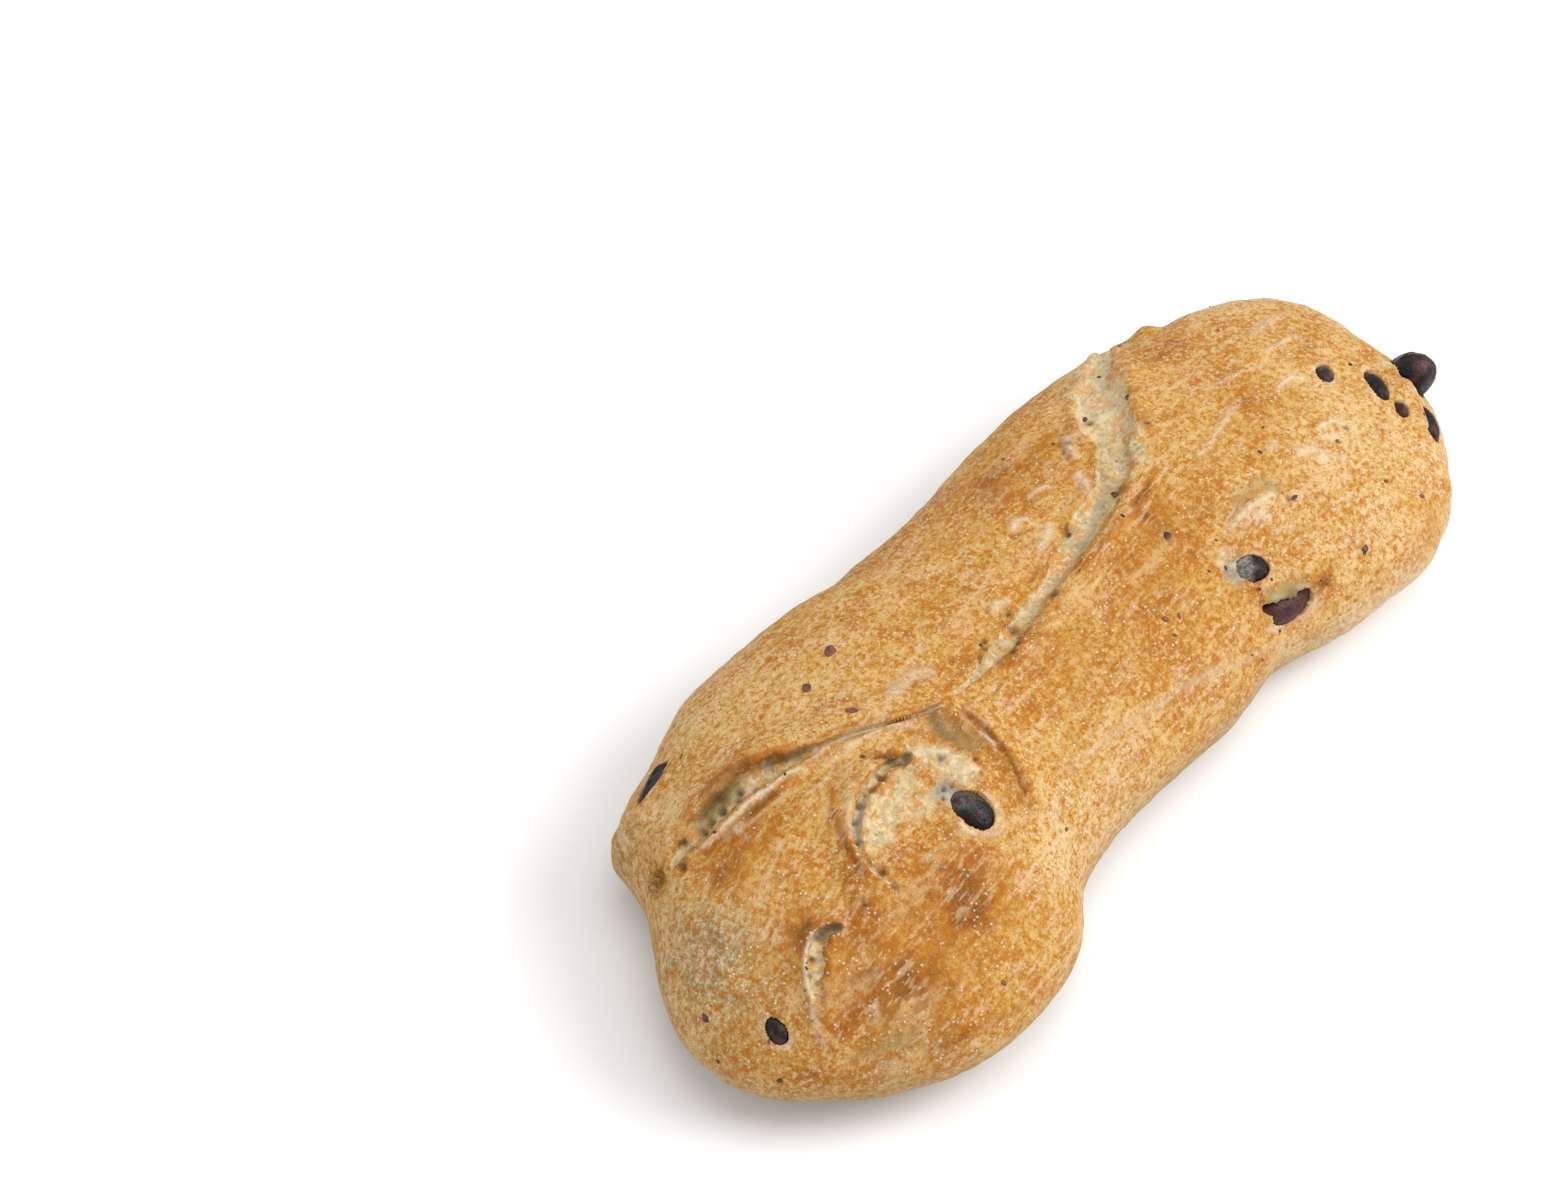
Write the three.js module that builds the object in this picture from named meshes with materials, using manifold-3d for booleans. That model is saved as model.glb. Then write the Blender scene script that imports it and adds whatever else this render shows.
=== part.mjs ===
// An olive stick bread: one long baked loaf, broad at one end and waisted in the
// middle, torn open along a split and rolled over in a fold, with black olives
// baked into pockets of its crumb.
//
// Millimetres, +Z up. X runs along the loaf with the broad lobe at -X, and the
// loaf lies on its flat underside at z = 0. Places on the crust are given in plan,
// as [x, y] measured from the middle of the loaf's length.
import * as THREE from 'three';
import Module from 'manifold-3d';

const wasm = await Module();
wasm.setup();

// ---- The loaf's driving sizes ----

const LENGTH = 250;
// Half-widths to the left (+Y) and right (-Y) at even steps from the broad end.
// The ends are then rounded off, so the first and last ones only set the corners.
const LEFT_HALF_WIDTHS = [32, 61, 60, 55, 48, 47, 48, 49, 46];
const RIGHT_HALF_WIDTHS = [45, 55, 52, 38, 40, 42, 58, 70, 72];
const HEIGHTS = [47, 46, 40, 42, 38];

// Powers of the curves that round off an end: 2 is an ellipse, more is squarer.
const BROAD_END = { width: 2.6, height: 2.5, under: 2.6 };
const FAR_END = { width: 2.3, height: 2.1, under: 2.4 };

const GIRTH_LEVEL = 0.33; // the widest level, as a share of the height
const CROWN_POWER = 2.15; // the crown's section, nearly an ellipse
const UNDER_POWER = 2.4; // the underside's section
const UNDER_REACH = 1.22; // over 1, so that the oven's floor cuts the underside flat

// Mesh fineness.
const RINGS = 69;
const CROWN_SIDES = 28;
const UNDER_SIDES = 8;
const UNDER_SIDEWAYS = 0.2; // how little the flat underside's width counts in spacing its sides

// The gap between an olive and the pocket that it sits in.
const POCKET_GAP = 0.3;

const CRUST = new THREE.MeshStandardMaterial({ color: '#c89b60', roughness: 0.78, metalness: 0 });
const OLIVE = new THREE.MeshStandardMaterial({ color: '#1d1519', roughness: 0.32, metalness: 0 });

// ---- The lines that shape the crust, in plan ----

// The seam where the flap is rolled over the broad lobe, from the junction outwards.
const FOLD = [
  [-37, 2], [-45, 6], [-53, 11], [-61, 16], [-69, 21], [-77, 25], [-85, 27.5], [-93, 28.5],
  [-100, 29.5],
];
// The long split's middle, and its right edge, where the crust stands up as a lip.
const SPLIT = [
  [83, 39], [73.5, 34.5], [64, 30], [55.5, 23.5], [48, 16], [38, 9], [26, 6], [13, 4.5],
  [0, 3], [-13, 2], [-25, 1.8], [-35, 2.8],
];
const SPLIT_RIGHT = [
  [74, 30], [67, 26], [60, 18.5], [52, 12], [42, 5.5], [28, 2], [12, 0.5], [-4, -1], [-20, -1.5],
];
// The curled dough at the heart of the broad lobe, and the arc around its right side.
const CURL = [
  [-52, 0], [-57, 2.5], [-62, 3], [-67, 2.5], [-72, 0.5], [-76, -2.5], [-79, -7], [-80, -11],
  [-79.5, -15],
];
const ARC = [[-37, -1], [-37.5, -6], [-39, -13], [-42, -20], [-46, -26]];
// The short crescent that opened nearer the broad end.
const CRESCENT = [[-93, -11], [-96, -8.7], [-99.5, -9], [-103, -11.5], [-106.5, -14], [-108.5, -17.5]];
// The ridge at the far end that an olive pushes out from under.
const FAR_RIDGE = [[117, -9], [114, -19], [109, -27], [102, -36]];
// The soft edge of an inner layer along the right shoulder of the waist.
const SHOULDER = [[-33, -22], [-12, -27], [12, -32], [30, -36]];
// The overhung nick on the right flank that an olive lies in.
const NICK = [[33, -35], [38, -38.5], [44, -40.5], [51, -42.5]];
// The torn pit beside the left tip of the flap.
const TIP_PIT = [[-101.4, 30], [-104.6, 32.6]];

// Rolls and hollows that run along a line: how far they lie to its left (a minus
// is to its right), how wide they are, and how much they rise. Left is judged
// from the line's first point to its last.
const RIBS = [
  { line: FOLD, left: -4.5, width: 4.5, rise: 2.2 },
  { line: FOLD, left: 4, width: 5, rise: -1.4 },
  { line: SPLIT, left: 0, width: 11, rise: -1.3 },
  { line: SPLIT_RIGHT, left: 1.5, width: 3.2, rise: 1.9 },
  { line: CURL, left: -3, width: 3.5, rise: 1.7 },
  { line: ARC, left: 2, width: 3, rise: 1.5 },
  { line: ARC, left: -3, width: 4, rise: -1 },
  { line: CRESCENT, left: -2.5, width: 3, rise: 0.8 },
  { line: FAR_RIDGE, left: 0, width: 3, rise: 1.6 },
  { line: SHOULDER, left: 0, width: 5, rise: 0.8 },
  { line: NICK, left: 3.2, width: 3.5, rise: 1.4 },
];

// Single swells and dents: place, radius and rise.
const SWELLS = [
  { at: [-64, -8], radius: 9, rise: -2 },
  { at: [-92, -2], radius: 20, rise: 0.8 },
  { at: [-96, 47], radius: 7, rise: 1.6 },
  { at: [-96, 45], radius: 3.5, rise: 1.4 },
  { at: [-107, 34], radius: 9, rise: -1.6 },
  { at: [-80, 54], radius: 11, rise: -1.3 },
  { at: [-58, 56], radius: 12, rise: 1.4 },
  { at: [-42, -42], radius: 9, rise: -2.2 },
  { at: [-16, 50], radius: 9, rise: -1.1 },
  { at: [16, -40], radius: 10, rise: 1.8 },
  { at: [78, -56], radius: 12, rise: 1 },
  { at: [94, 36], radius: 12, rise: -2.4 },
  { at: [90, 32.5], radius: 3.5, rise: 2.2 },
  { at: [77, 36], radius: 4, rise: 1.2 },
  { at: [55, -22], radius: 20, rise: 0.7 },
  { at: [103, -48], radius: 9, rise: -1.2 },
  { at: [122, -13], radius: 9, rise: -1.2 },
];

// Torn openings: the line, the full widths at even steps along it, the depth, and
// how many degrees the opening leans to the left as it goes down.
const TEARS = [
  { line: SPLIT, widths: [6, 8, 10, 12.5, 10.5, 9, 7.5, 6.2, 5.2, 4.8, 3.6, 2], depth: 2.8, lean: 0 },
  { line: FOLD, widths: [1.6, 1.8, 1.8, 2, 3, 4.8, 5.4, 4.4, 2.6], depth: 3, lean: -30 },
  { line: CURL, widths: [3, 4, 4.5, 4, 3.5, 3.5, 3, 2.6, 2], depth: 3, lean: -30 },
  { line: ARC, widths: [4, 3, 1.8, 1.5, 1.2], depth: 1.8, lean: 25 },
  { line: CRESCENT, widths: [1.6, 2.6, 2.4, 2.4, 2.2, 1.6], depth: 2, lean: -20 },
  { line: NICK, widths: [4, 4.4, 3.6, 2], depth: 3, lean: 30 },
  { line: TIP_PIT, widths: [3.4, 3.8, 3], depth: 3, lean: 0 },
];

// Olives: place, [length, width, thickness], how deep the middle lies under the
// crust, and the long axis's turn in plan, in degrees.
const OLIVES = {
  olive_front: { at: [-54.1, -17.6], size: [12, 8.8, 8.6], sunk: 3.3, turn: -100 },
  olive_front_small: { at: [-116.5, -11.2], size: [7.5, 5.5, 5.5], sunk: 2, turn: 60 },
  olive_left_flank: { at: [-88, 46.2], size: [20, 4, 6], sunk: 2.7, turn: 176 },
  olive_right_flank: { at: [38.1, -29.4], size: [9, 6.8, 6.6], sunk: 2.3, turn: 300 },
  olive_under_lip: { at: [38.5, -39], size: [15, 8, 7.5], sunk: 2.9, turn: -24 },
  olive_far_top: { at: [98, -11.7], size: [8, 4.6, 6], sunk: 2.2, turn: 36 },
  olive_far_middle: { at: [105, -22], size: [11, 5, 7], sunk: 2.4, turn: 56 },
  olive_far_brown: { at: [102.3, -30.5], size: [5.5, 3.4, 4.5], sunk: 1.6, turn: 52 },
  olive_far_out: { at: [115, -25.4], size: [11.5, 10, 12], sunk: -1.2, turn: 120 },
  olive_far_low: { at: [106.6, -35.8], size: [11, 5, 5.5], sunk: 1.6, turn: 62 },
};

// ---- Small helpers ----

// A smooth value at t (0 to 1) through numbers that stand at even steps.
function smoothThrough(numbers, t) {
  const last = numbers.length - 1;
  const points = numbers.map((value, i) => new THREE.Vector2(i / last, value));
  return new THREE.SplineCurve(points).getPoint(t).y;
}

// 0 at both ends and 1 in the middle, as round as the power says.
function roundedEnds(t, startPower, endPower = startPower) {
  const power = t < 0.5 ? startPower : endPower;
  return (1 - Math.abs(2 * t - 1) ** power) ** (1 / power);
}

// Two faces for the quad a-b-c-d, split along the diagonal that leaves it flatter.
function quadFaces(points, a, b, c, d) {
  const [pa, pb, pc, pd] = [a, b, c, d].map((corner) => points[corner]);
  const facing = (p, q, r) => new THREE.Triangle(p, q, r).getNormal(new THREE.Vector3());
  const acrossAC = facing(pa, pb, pc).dot(facing(pa, pc, pd));
  const acrossBD = facing(pa, pb, pd).dot(facing(pb, pc, pd));
  return acrossAC > acrossBD ? [a, b, c, a, c, d] : [a, b, d, b, c, d];
}

function anglesAround(sides) {
  return Array.from({ length: sides }, (_, i) => (i / sides) * Math.PI * 2);
}

// A closed skin of rings from one pole (s = 0) to the other (s = 1).
function closedSkin(stations, angles, pointAt) {
  const sides = angles.length;
  const inner = stations.slice(1, -1);
  const points = [pointAt(stations[0], 0)];
  inner.forEach((s) => angles.forEach((angle) => points.push(pointAt(s, angle))));
  points.push(pointAt(stations.at(-1), 0));
  const faces = [];
  const corner = (ring, side) => 1 + ring * sides + (side % sides);
  const lastRing = inner.length - 1;
  for (let side = 0; side < sides; side += 1) {
    const next = side + 1;
    faces.push(0, corner(0, next), corner(0, side));
    for (let ring = 0; ring < lastRing; ring += 1) {
      const near = [corner(ring, side), corner(ring, next)];
      const far = [corner(ring + 1, next), corner(ring + 1, side)];
      faces.push(...quadFaces(points, ...near, ...far));
    }
    faces.push(points.length - 1, corner(lastRing, side), corner(lastRing, next));
  }
  const geometry = new THREE.BufferGeometry().setFromPoints(points);
  geometry.setIndex(faces);
  return geometry;
}

function toSolid(geometry) {
  const vertProperties = new Float32Array(geometry.attributes.position.array);
  const triVerts = new Uint32Array(geometry.index.array);
  return new wasm.Manifold(new wasm.Mesh({ numProp: 3, vertProperties, triVerts }));
}

function toGeometry(solid) {
  const { vertProperties, triVerts } = solid.getMesh();
  const geometry = new THREE.BufferGeometry();
  geometry.setAttribute('position', new THREE.BufferAttribute(vertProperties, 3));
  geometry.setIndex(new THREE.BufferAttribute(triVerts, 1));
  geometry.computeVertexNormals();
  return geometry;
}

// ---- The smooth loaf, before it folds and tears ----

// The loaf's cross-section at t: its middle, half-width, girth level and crown.
function sectionAt(t) {
  const ends = roundedEnds(t, BROAD_END.width, FAR_END.width);
  const left = smoothThrough(LEFT_HALF_WIDTHS, t) * ends;
  const right = smoothThrough(RIGHT_HALF_WIDTHS, t) * ends;
  const height = smoothThrough(HEIGHTS, t);
  const girth = height * GIRTH_LEVEL;
  return {
    x: (t - 0.5) * LENGTH,
    middle: (left - right) / 2,
    halfWidth: (left + right) / 2,
    girth,
    crown: (height - girth) * roundedEnds(t, BROAD_END.height, FAR_END.height),
    under: girth * UNDER_REACH * roundedEnds(t, BROAD_END.under, FAR_END.under),
  };
}

// A point of the skin: angle 0 is the left flank and a quarter turn is the top.
function loafPoint(t, angle) {
  const section = sectionAt(t);
  const power = Math.sin(angle) >= 0 ? CROWN_POWER : UNDER_POWER;
  const across = Math.cos(angle);
  const up = Math.sin(angle);
  const radius = (Math.abs(across) ** power + Math.abs(up) ** power) ** (-1 / power);
  const y = section.middle + section.halfWidth * radius * across;
  const rise = up >= 0 ? section.crown : section.under;
  return new THREE.Vector3(section.x, y, Math.max(section.girth + rise * radius * up, 0));
}

// The height of the smooth crown over a place in plan.
function crownHeight(x, y) {
  const section = sectionAt(THREE.MathUtils.clamp(x / LENGTH + 0.5, 0.001, 0.999));
  const share = Math.min(Math.abs((y - section.middle) / section.halfWidth), 1);
  return section.girth + section.crown * (1 - share ** CROWN_POWER) ** (1 / CROWN_POWER);
}

// ---- Relief: rolls, hollows, swells and dents ----

const LINE_STEPS = 48;
const RIB_TAPER = 0.5; // how bluntly a roll or hollow runs out at its ends
const SLOPE_STEP = 0.5; // how far apart the crown is measured to find its slope
// The relief fades out between these heights, near the surface that the loaf lies on.
const RELIEF_FADE = [1, 10];

// A line in plan, as a curve with its points kept for measuring.
function planLine(points) {
  const curve = new THREE.SplineCurve(points.map(([x, y]) => new THREE.Vector2(x, y)));
  return { curve, samples: curve.getPoints(LINE_STEPS) };
}

// How far a place lies to the left of a line, and how far along the line it is.
function measureFrom(line, x, y) {
  const place = new THREE.Vector2(x, y);
  let nearest = { distance: Infinity };
  for (let step = 0; step < LINE_STEPS; step += 1) {
    const start = line.samples[step];
    const run = line.samples[step + 1].clone().sub(start);
    const offset = place.clone().sub(start);
    const share = THREE.MathUtils.clamp(offset.dot(run) / run.lengthSq(), 0, 1);
    const distance = offset.clone().addScaledVector(run, -share).length();
    if (distance < nearest.distance) {
      const left = Math.sign(run.cross(offset)) * distance;
      nearest = { distance, left, along: (step + share) / LINE_STEPS };
    }
  }
  return nearest;
}

const ribs = RIBS.map((rib) => ({ ...rib, line: planLine(rib.line) }));

const bell = (distance, width) => Math.exp(-((distance / width) ** 2));

// How far the crust stands off the smooth loaf at a place in plan.
function reliefAt(x, y) {
  let rise = 0;
  for (const rib of ribs) {
    const place = measureFrom(rib.line, x, y);
    rise += rib.rise * bell(place.left - rib.left, rib.width) * roundedEnds(place.along, 2) ** RIB_TAPER;
  }
  for (const swell of SWELLS) {
    rise += swell.rise * bell(Math.hypot(x - swell.at[0], y - swell.at[1]), swell.radius);
  }
  return rise;
}

// The crust over a place in plan: its point and the way it faces.
function crustAt(x, y) {
  const step = SLOPE_STEP;
  const slopeX = (crownHeight(x + step, y) - crownHeight(x - step, y)) / (2 * step);
  const slopeY = (crownHeight(x, y + step) - crownHeight(x, y - step)) / (2 * step);
  const normal = new THREE.Vector3(-slopeX, -slopeY, 1).normalize();
  const point = new THREE.Vector3(x, y, crownHeight(x, y)).addScaledVector(normal, reliefAt(x, y));
  return { point, normal };
}

// ---- The loaf's skin ----

// Angles over half of a section, spaced evenly by length, where a move sideways
// counts for less than a move up or down as the weight says.
function evenAngles(from, sides, sidewaysWeight) {
  const fine = 720;
  const typical = 0.3; // the place along the loaf whose section is measured
  const angleAt = (i) => from + (i / fine) * Math.PI;
  const lengths = [0];
  for (let i = 1; i <= fine; i += 1) {
    const move = loafPoint(typical, angleAt(i)).sub(loafPoint(typical, angleAt(i - 1)));
    lengths.push(lengths.at(-1) + Math.hypot(move.y * sidewaysWeight, move.z));
  }
  const wanted = Array.from({ length: sides }, (_, i) => (i / sides) * lengths.at(-1));
  return wanted.map((length) => angleAt(lengths.findIndex((sum) => sum >= length)));
}

// The smooth loaf's point, pushed out or in by the relief.
function crustPoint(t, angle) {
  const nudge = 0.001;
  const point = loafPoint(t, angle);
  const behind = loafPoint(Math.max(t - nudge, 0), angle);
  const alongLoaf = loafPoint(Math.min(t + nudge, 1), angle).sub(behind);
  const aroundLoaf = loafPoint(t, angle + nudge).sub(loafPoint(t, angle - nudge));
  const facing = aroundLoaf.cross(alongLoaf).normalize();
  const fade = THREE.MathUtils.smoothstep(point.z, ...RELIEF_FADE);
  return point.addScaledVector(facing, fade * reliefAt(point.x, point.y));
}

function loafSkin() {
  const crowded = (share) => 0.5 - 0.5 * Math.cos(Math.PI * share); // closer rings at the ends
  const stations = Array.from({ length: RINGS + 1 }, (_, i) => crowded(i / RINGS));
  const crown = evenAngles(0, CROWN_SIDES, 1);
  const under = evenAngles(Math.PI, UNDER_SIDES, UNDER_SIDEWAYS);
  return closedSkin(stations, [...crown, ...under], crustPoint);
}

// ---- Tears ----

const CUTTER_STEP = 4; // from ring to ring along its line
const CUTTER_END_RINGS = 4; // more of them, for the round ends
const CUTTER_SIDES = 8;
const CUTTER_ABOVE = 4; // how far a cutter stands clear of the crust
const CUTTER_TAPER = 2.5;

// Two waves along a tear that make its edges ragged.
const RAGGED_WAVES = [
  { swing: 0.16, pace: 23, start: 1 },
  { swing: 0.1, pace: 61, start: 0 },
];

function raggedAt(s) {
  return RAGGED_WAVES.reduce((sum, wave) => sum + wave.swing * Math.sin(wave.pace * s + wave.start), 1);
}

// A boat-shaped cutter laid along a line, open above the crust and leaning to one
// side below it, with a ragged edge.
function tearCutter({ line, widths, depth, lean }) {
  const { curve } = planLine(line);
  const steps = Math.round(curve.getLength() / CUTTER_STEP) + CUTTER_END_RINGS;
  const stations = Array.from({ length: steps + 1 }, (_, i) => i / steps);
  const tilt = Math.tan(THREE.MathUtils.degToRad(lean));
  return closedSkin(stations, anglesAround(CUTTER_SIDES), (s, angle) => {
    const place = curve.getPoint(s);
    const heading = curve.getTangent(s);
    const { point, normal } = crustAt(place.x, place.y);
    const forward = new THREE.Vector3(heading.x, heading.y, 0);
    const leftward = normal.clone().cross(forward).normalize();
    const taper = roundedEnds(s, CUTTER_TAPER);
    const halfWidth = (smoothThrough(widths, s) / 2) * taper * raggedAt(s);
    const height = Math.sin(angle) * (Math.sin(angle) > 0 ? CUTTER_ABOVE : depth) * taper;
    const sideways = Math.cos(angle) * halfWidth - Math.min(height, 0) * tilt;
    return point.addScaledVector(leftward, sideways).addScaledVector(normal, height);
  });
}

// ---- Olives ----

const LONG_OLIVE = 11; // over this length an olive has more rings
const LONG_OLIVE_RINGS = 9;
const SHORT_OLIVE_RINGS = 7;
const OLIVE_FULLNESS = 0.9; // the power of its outline: 1 is an ellipse, less is fuller
const OLIVE_TAPER = 0.1; // how much slimmer its front end is than its middle
const WRINKLE = 0.035;
const WRINKLES_AROUND = 3;
const WRINKLE_TWIST = 2;

// An olive in its own frame: long along X, drawn in at one end, faintly wrinkled.
function oliveGeometry([length, width, thickness], grow, phase) {
  const rings = length > LONG_OLIVE ? LONG_OLIVE_RINGS : SHORT_OLIVE_RINGS;
  const stations = Array.from({ length: rings + 1 }, (_, i) => i / rings);
  return closedSkin(stations, anglesAround(rings + 1), (s, angle) => {
    const lengthwise = -Math.cos(s * Math.PI);
    const outline = Math.sin(s * Math.PI) ** OLIVE_FULLNESS * (1 - OLIVE_TAPER * lengthwise);
    const wave = Math.sin(WRINKLES_AROUND * angle + phase + WRINKLE_TWIST * s);
    const girth = outline * (1 + WRINKLE * wave);
    return new THREE.Vector3(
      (length / 2 + grow) * lengthwise,
      (width / 2 + grow) * girth * Math.cos(angle),
      (thickness / 2 + grow) * girth * Math.sin(angle),
    );
  });
}

// Lays an olive, or its pocket, into the crust.
function oliveInPlace({ at, size, sunk, turn }, grow, phase) {
  const { point, normal } = crustAt(...at);
  const facing = THREE.MathUtils.degToRad(turn);
  const flat = new THREE.Vector3(Math.cos(facing), Math.sin(facing), 0);
  const side = normal.clone().cross(flat).normalize();
  const along = side.clone().cross(normal);
  const place = new THREE.Matrix4().makeBasis(along, side, normal);
  place.setPosition(point.addScaledVector(normal, -sunk));
  return oliveGeometry(size, grow, phase).applyMatrix4(place);
}

// ---- Assembly ----

const olives = Object.entries(OLIVES);

function bakeLoaf() {
  let loaf = toSolid(loafSkin());
  TEARS.forEach((tear) => {
    loaf = loaf.subtract(toSolid(tearCutter(tear)));
  });
  olives.forEach(([, olive], i) => {
    loaf = loaf.subtract(toSolid(oliveInPlace(olive, POCKET_GAP, i)));
  });
  return loaf;
}

function piece(name, geometry, material) {
  const mesh = new THREE.Mesh(geometry, material);
  mesh.name = name;
  return mesh;
}

const group = new THREE.Group();
group.add(piece('loaf', toGeometry(bakeLoaf()), CRUST));
olives.forEach(([name, olive], i) => {
  group.add(piece(name, toGeometry(toSolid(oliveInPlace(olive, 0, i))), OLIVE));
});

// Origin at the middle of the whole bread's box, on the surface it lies on.
const box = new THREE.Box3().setFromObject(group);
const centre = box.getCenter(new THREE.Vector3());
group.position.set(-centre.x, -centre.y, -box.min.z);

export default group;
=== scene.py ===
import math
from itertools import product

import bpy
import numpy as np
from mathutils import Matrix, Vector


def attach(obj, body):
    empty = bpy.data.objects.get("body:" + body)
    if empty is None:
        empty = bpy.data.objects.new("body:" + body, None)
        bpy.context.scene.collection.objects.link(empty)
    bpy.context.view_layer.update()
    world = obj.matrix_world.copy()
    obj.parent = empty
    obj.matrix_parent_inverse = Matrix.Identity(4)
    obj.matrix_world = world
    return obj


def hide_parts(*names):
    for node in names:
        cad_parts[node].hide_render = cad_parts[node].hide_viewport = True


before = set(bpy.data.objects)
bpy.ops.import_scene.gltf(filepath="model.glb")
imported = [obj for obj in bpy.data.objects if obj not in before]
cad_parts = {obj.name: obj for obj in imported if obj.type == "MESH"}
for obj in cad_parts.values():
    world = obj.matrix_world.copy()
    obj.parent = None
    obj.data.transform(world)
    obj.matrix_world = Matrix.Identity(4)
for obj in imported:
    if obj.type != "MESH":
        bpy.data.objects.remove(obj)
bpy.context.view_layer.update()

MM = 0.001
PLAN_TO_ROW = np.array([0.0, -1.243, 0.0])  # mm, from the plan's origin to the row frame's

# ---- The loaf's driving sizes, as its solid has them ----

LENGTH = 250
LEFT_HALF_WIDTHS = [32, 61, 60, 55, 48, 47, 48, 49, 46]
RIGHT_HALF_WIDTHS = [45, 55, 52, 38, 40, 42, 58, 70, 72]
HEIGHTS = [47, 46, 40, 42, 38]
BROAD_END = {"width": 2.6, "height": 2.5, "under": 2.6}
FAR_END = {"width": 2.3, "height": 2.1, "under": 2.4}
GIRTH_LEVEL = 0.33
CROWN_POWER = 2.15
UNDER_POWER = 2.4
UNDER_REACH = 1.22

# Mesh fineness: rings along the loaf, and sides over the crown and under it.
RINGS = 204
CROWN_SIDES = 122
UNDER_SIDES = 32

# ---- The lines that shape the crust, in plan ----

FOLD = [
    [-37, 2], [-45, 6], [-53, 11], [-61, 16], [-69, 21], [-77, 25], [-85, 27.5], [-93, 28.5],
    [-100, 29.5],
]
SPLIT = [
    [83, 39], [73.5, 34.5], [64, 30], [55.5, 23.5], [48, 16], [38, 9], [26, 6], [13, 4.5],
    [0, 3], [-13, 2], [-25, 1.8], [-35, 2.8],
]
SPLIT_RIGHT = [
    [74, 30], [67, 26], [60, 18.5], [52, 12], [42, 5.5], [28, 2], [12, 0.5], [-4, -1], [-20, -1.5],
]
CURL = [
    [-52, 0], [-57, 2.5], [-62, 3], [-67, 2.5], [-72, 0.5], [-76, -2.5], [-79, -7], [-80, -11],
    [-79.5, -15],
]
ARC = [[-37, -1], [-37.5, -6], [-39, -13], [-42, -20], [-46, -26]]
CRESCENT = [[-93, -11], [-96, -8.7], [-99.5, -9], [-103, -11.5], [-106.5, -14], [-108.5, -17.5]]
FAR_RIDGE = [[117, -9], [114, -19], [109, -27], [102, -36]]
SHOULDER = [[-33, -22], [-12, -27], [12, -32], [30, -36]]
NICK = [[33, -35], [38, -38.5], [44, -40.5], [51, -42.5]]
TIP_PIT = [[-101.4, 30], [-104.6, 32.6]]

# Rolls and hollows along a line: line, how far to its left, width, rise.
RIBS = [
    (FOLD, -4.5, 4.5, 2.2),
    (FOLD, 4, 5, -1.4),
    (SPLIT, 0, 11, -1.3),
    (SPLIT_RIGHT, 1.5, 3.2, 1.9),
    (CURL, -3, 3.5, 1.7),
    (ARC, 2, 3, 1.5),
    (ARC, -3, 4, -1),
    (CRESCENT, -2.5, 3, 0.8),
    (FAR_RIDGE, 0, 3, 1.6),
    (SHOULDER, 0, 5, 0.8),
    (NICK, 3.2, 3.5, 1.4),
]

# Single swells and dents: place, radius, rise.
SWELLS = [
    ([-64, -8], 9, -2), ([-92, -2], 20, 0.8), ([-96, 47], 7, 1.6), ([-107, 34], 9, -1.6),
    ([-80, 54], 11, -1.3), ([-58, 56], 12, 1.4), ([-42, -42], 9, -2.2), ([-16, 50], 9, -1.1),
    ([16, -40], 10, 1.8), ([78, -56], 12, 1), ([94, 36], 12, -2.4), ([90, 32.5], 3.5, 2.2),
    ([77, 36], 4, 1.2), ([92, -48.6], 1.8, 1.6), ([-96, 45], 3.5, 1.4), ([55, -22], 20, 0.7),
    ([103, -48], 9, -1.2), ([122, -13], 9, -1.2),
]

# Torn openings: the line, full widths and depths along it, the lean to the left in
# degrees, how high the edges curl up and how sharply the floor meets the crust on
# the left and on the right, and how much open crumb shows.
TEARS = [
    (SPLIT, [6, 8, 10, 12.5, 10.5, 9, 7.5, 6.2, 5.2, 4.8, 3.6, 2],
     [1.2, 1.5, 1.6, 1.7, 1.6, 1.5, 1.3, 1.2, 1.1, 1, 0.8, 0.4], 0, (0.1, 0.5), (0.1, 1), 1),
    (FOLD, [0.9, 1, 1.1, 1.4, 3, 4.8, 5.4, 4.8, 3],
     [1.2, 1.3, 1.4, 1.7, 2.2, 2.8, 2.9, 2.6, 1.6], -25, (0.7, 0.9), (1, 1), 0.9),
    (CURL, [2.4, 2.6, 2.2, 1.8, 1.7, 1.6, 1.6, 1.4, 1],
     [2.6, 2.2, 1.5, 1.2, 1.2, 1.2, 1.1, 0.9, 0.6], -30, (0.1, 0.9), (1, 1), 1),
    (ARC, [2.2, 1.3, 1.1, 0.9, 0.8], [1, 0.7, 0.6, 0.5, 0.3], 25, (0.3, 0.2), (1, 1), 0.1),
    (CRESCENT, [1.8, 2.8, 3.2, 3, 2.4, 1.4], [2.2, 1.8, 1.5, 1.4, 1.3, 1], -20, (0.2, 0.5), (1, 1), 1),
    (NICK, [4, 4.4, 3.6, 2], [2.8, 2.8, 2.2, 1.2], 30, (0.7, 0.2), (1, 1), 0.2),
    (TIP_PIT, [3.8, 4.6, 3.6], [2.8, 3.4, 2.8], 0, (0.5, 0.5), (1, 1), 0.4),
]

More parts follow.
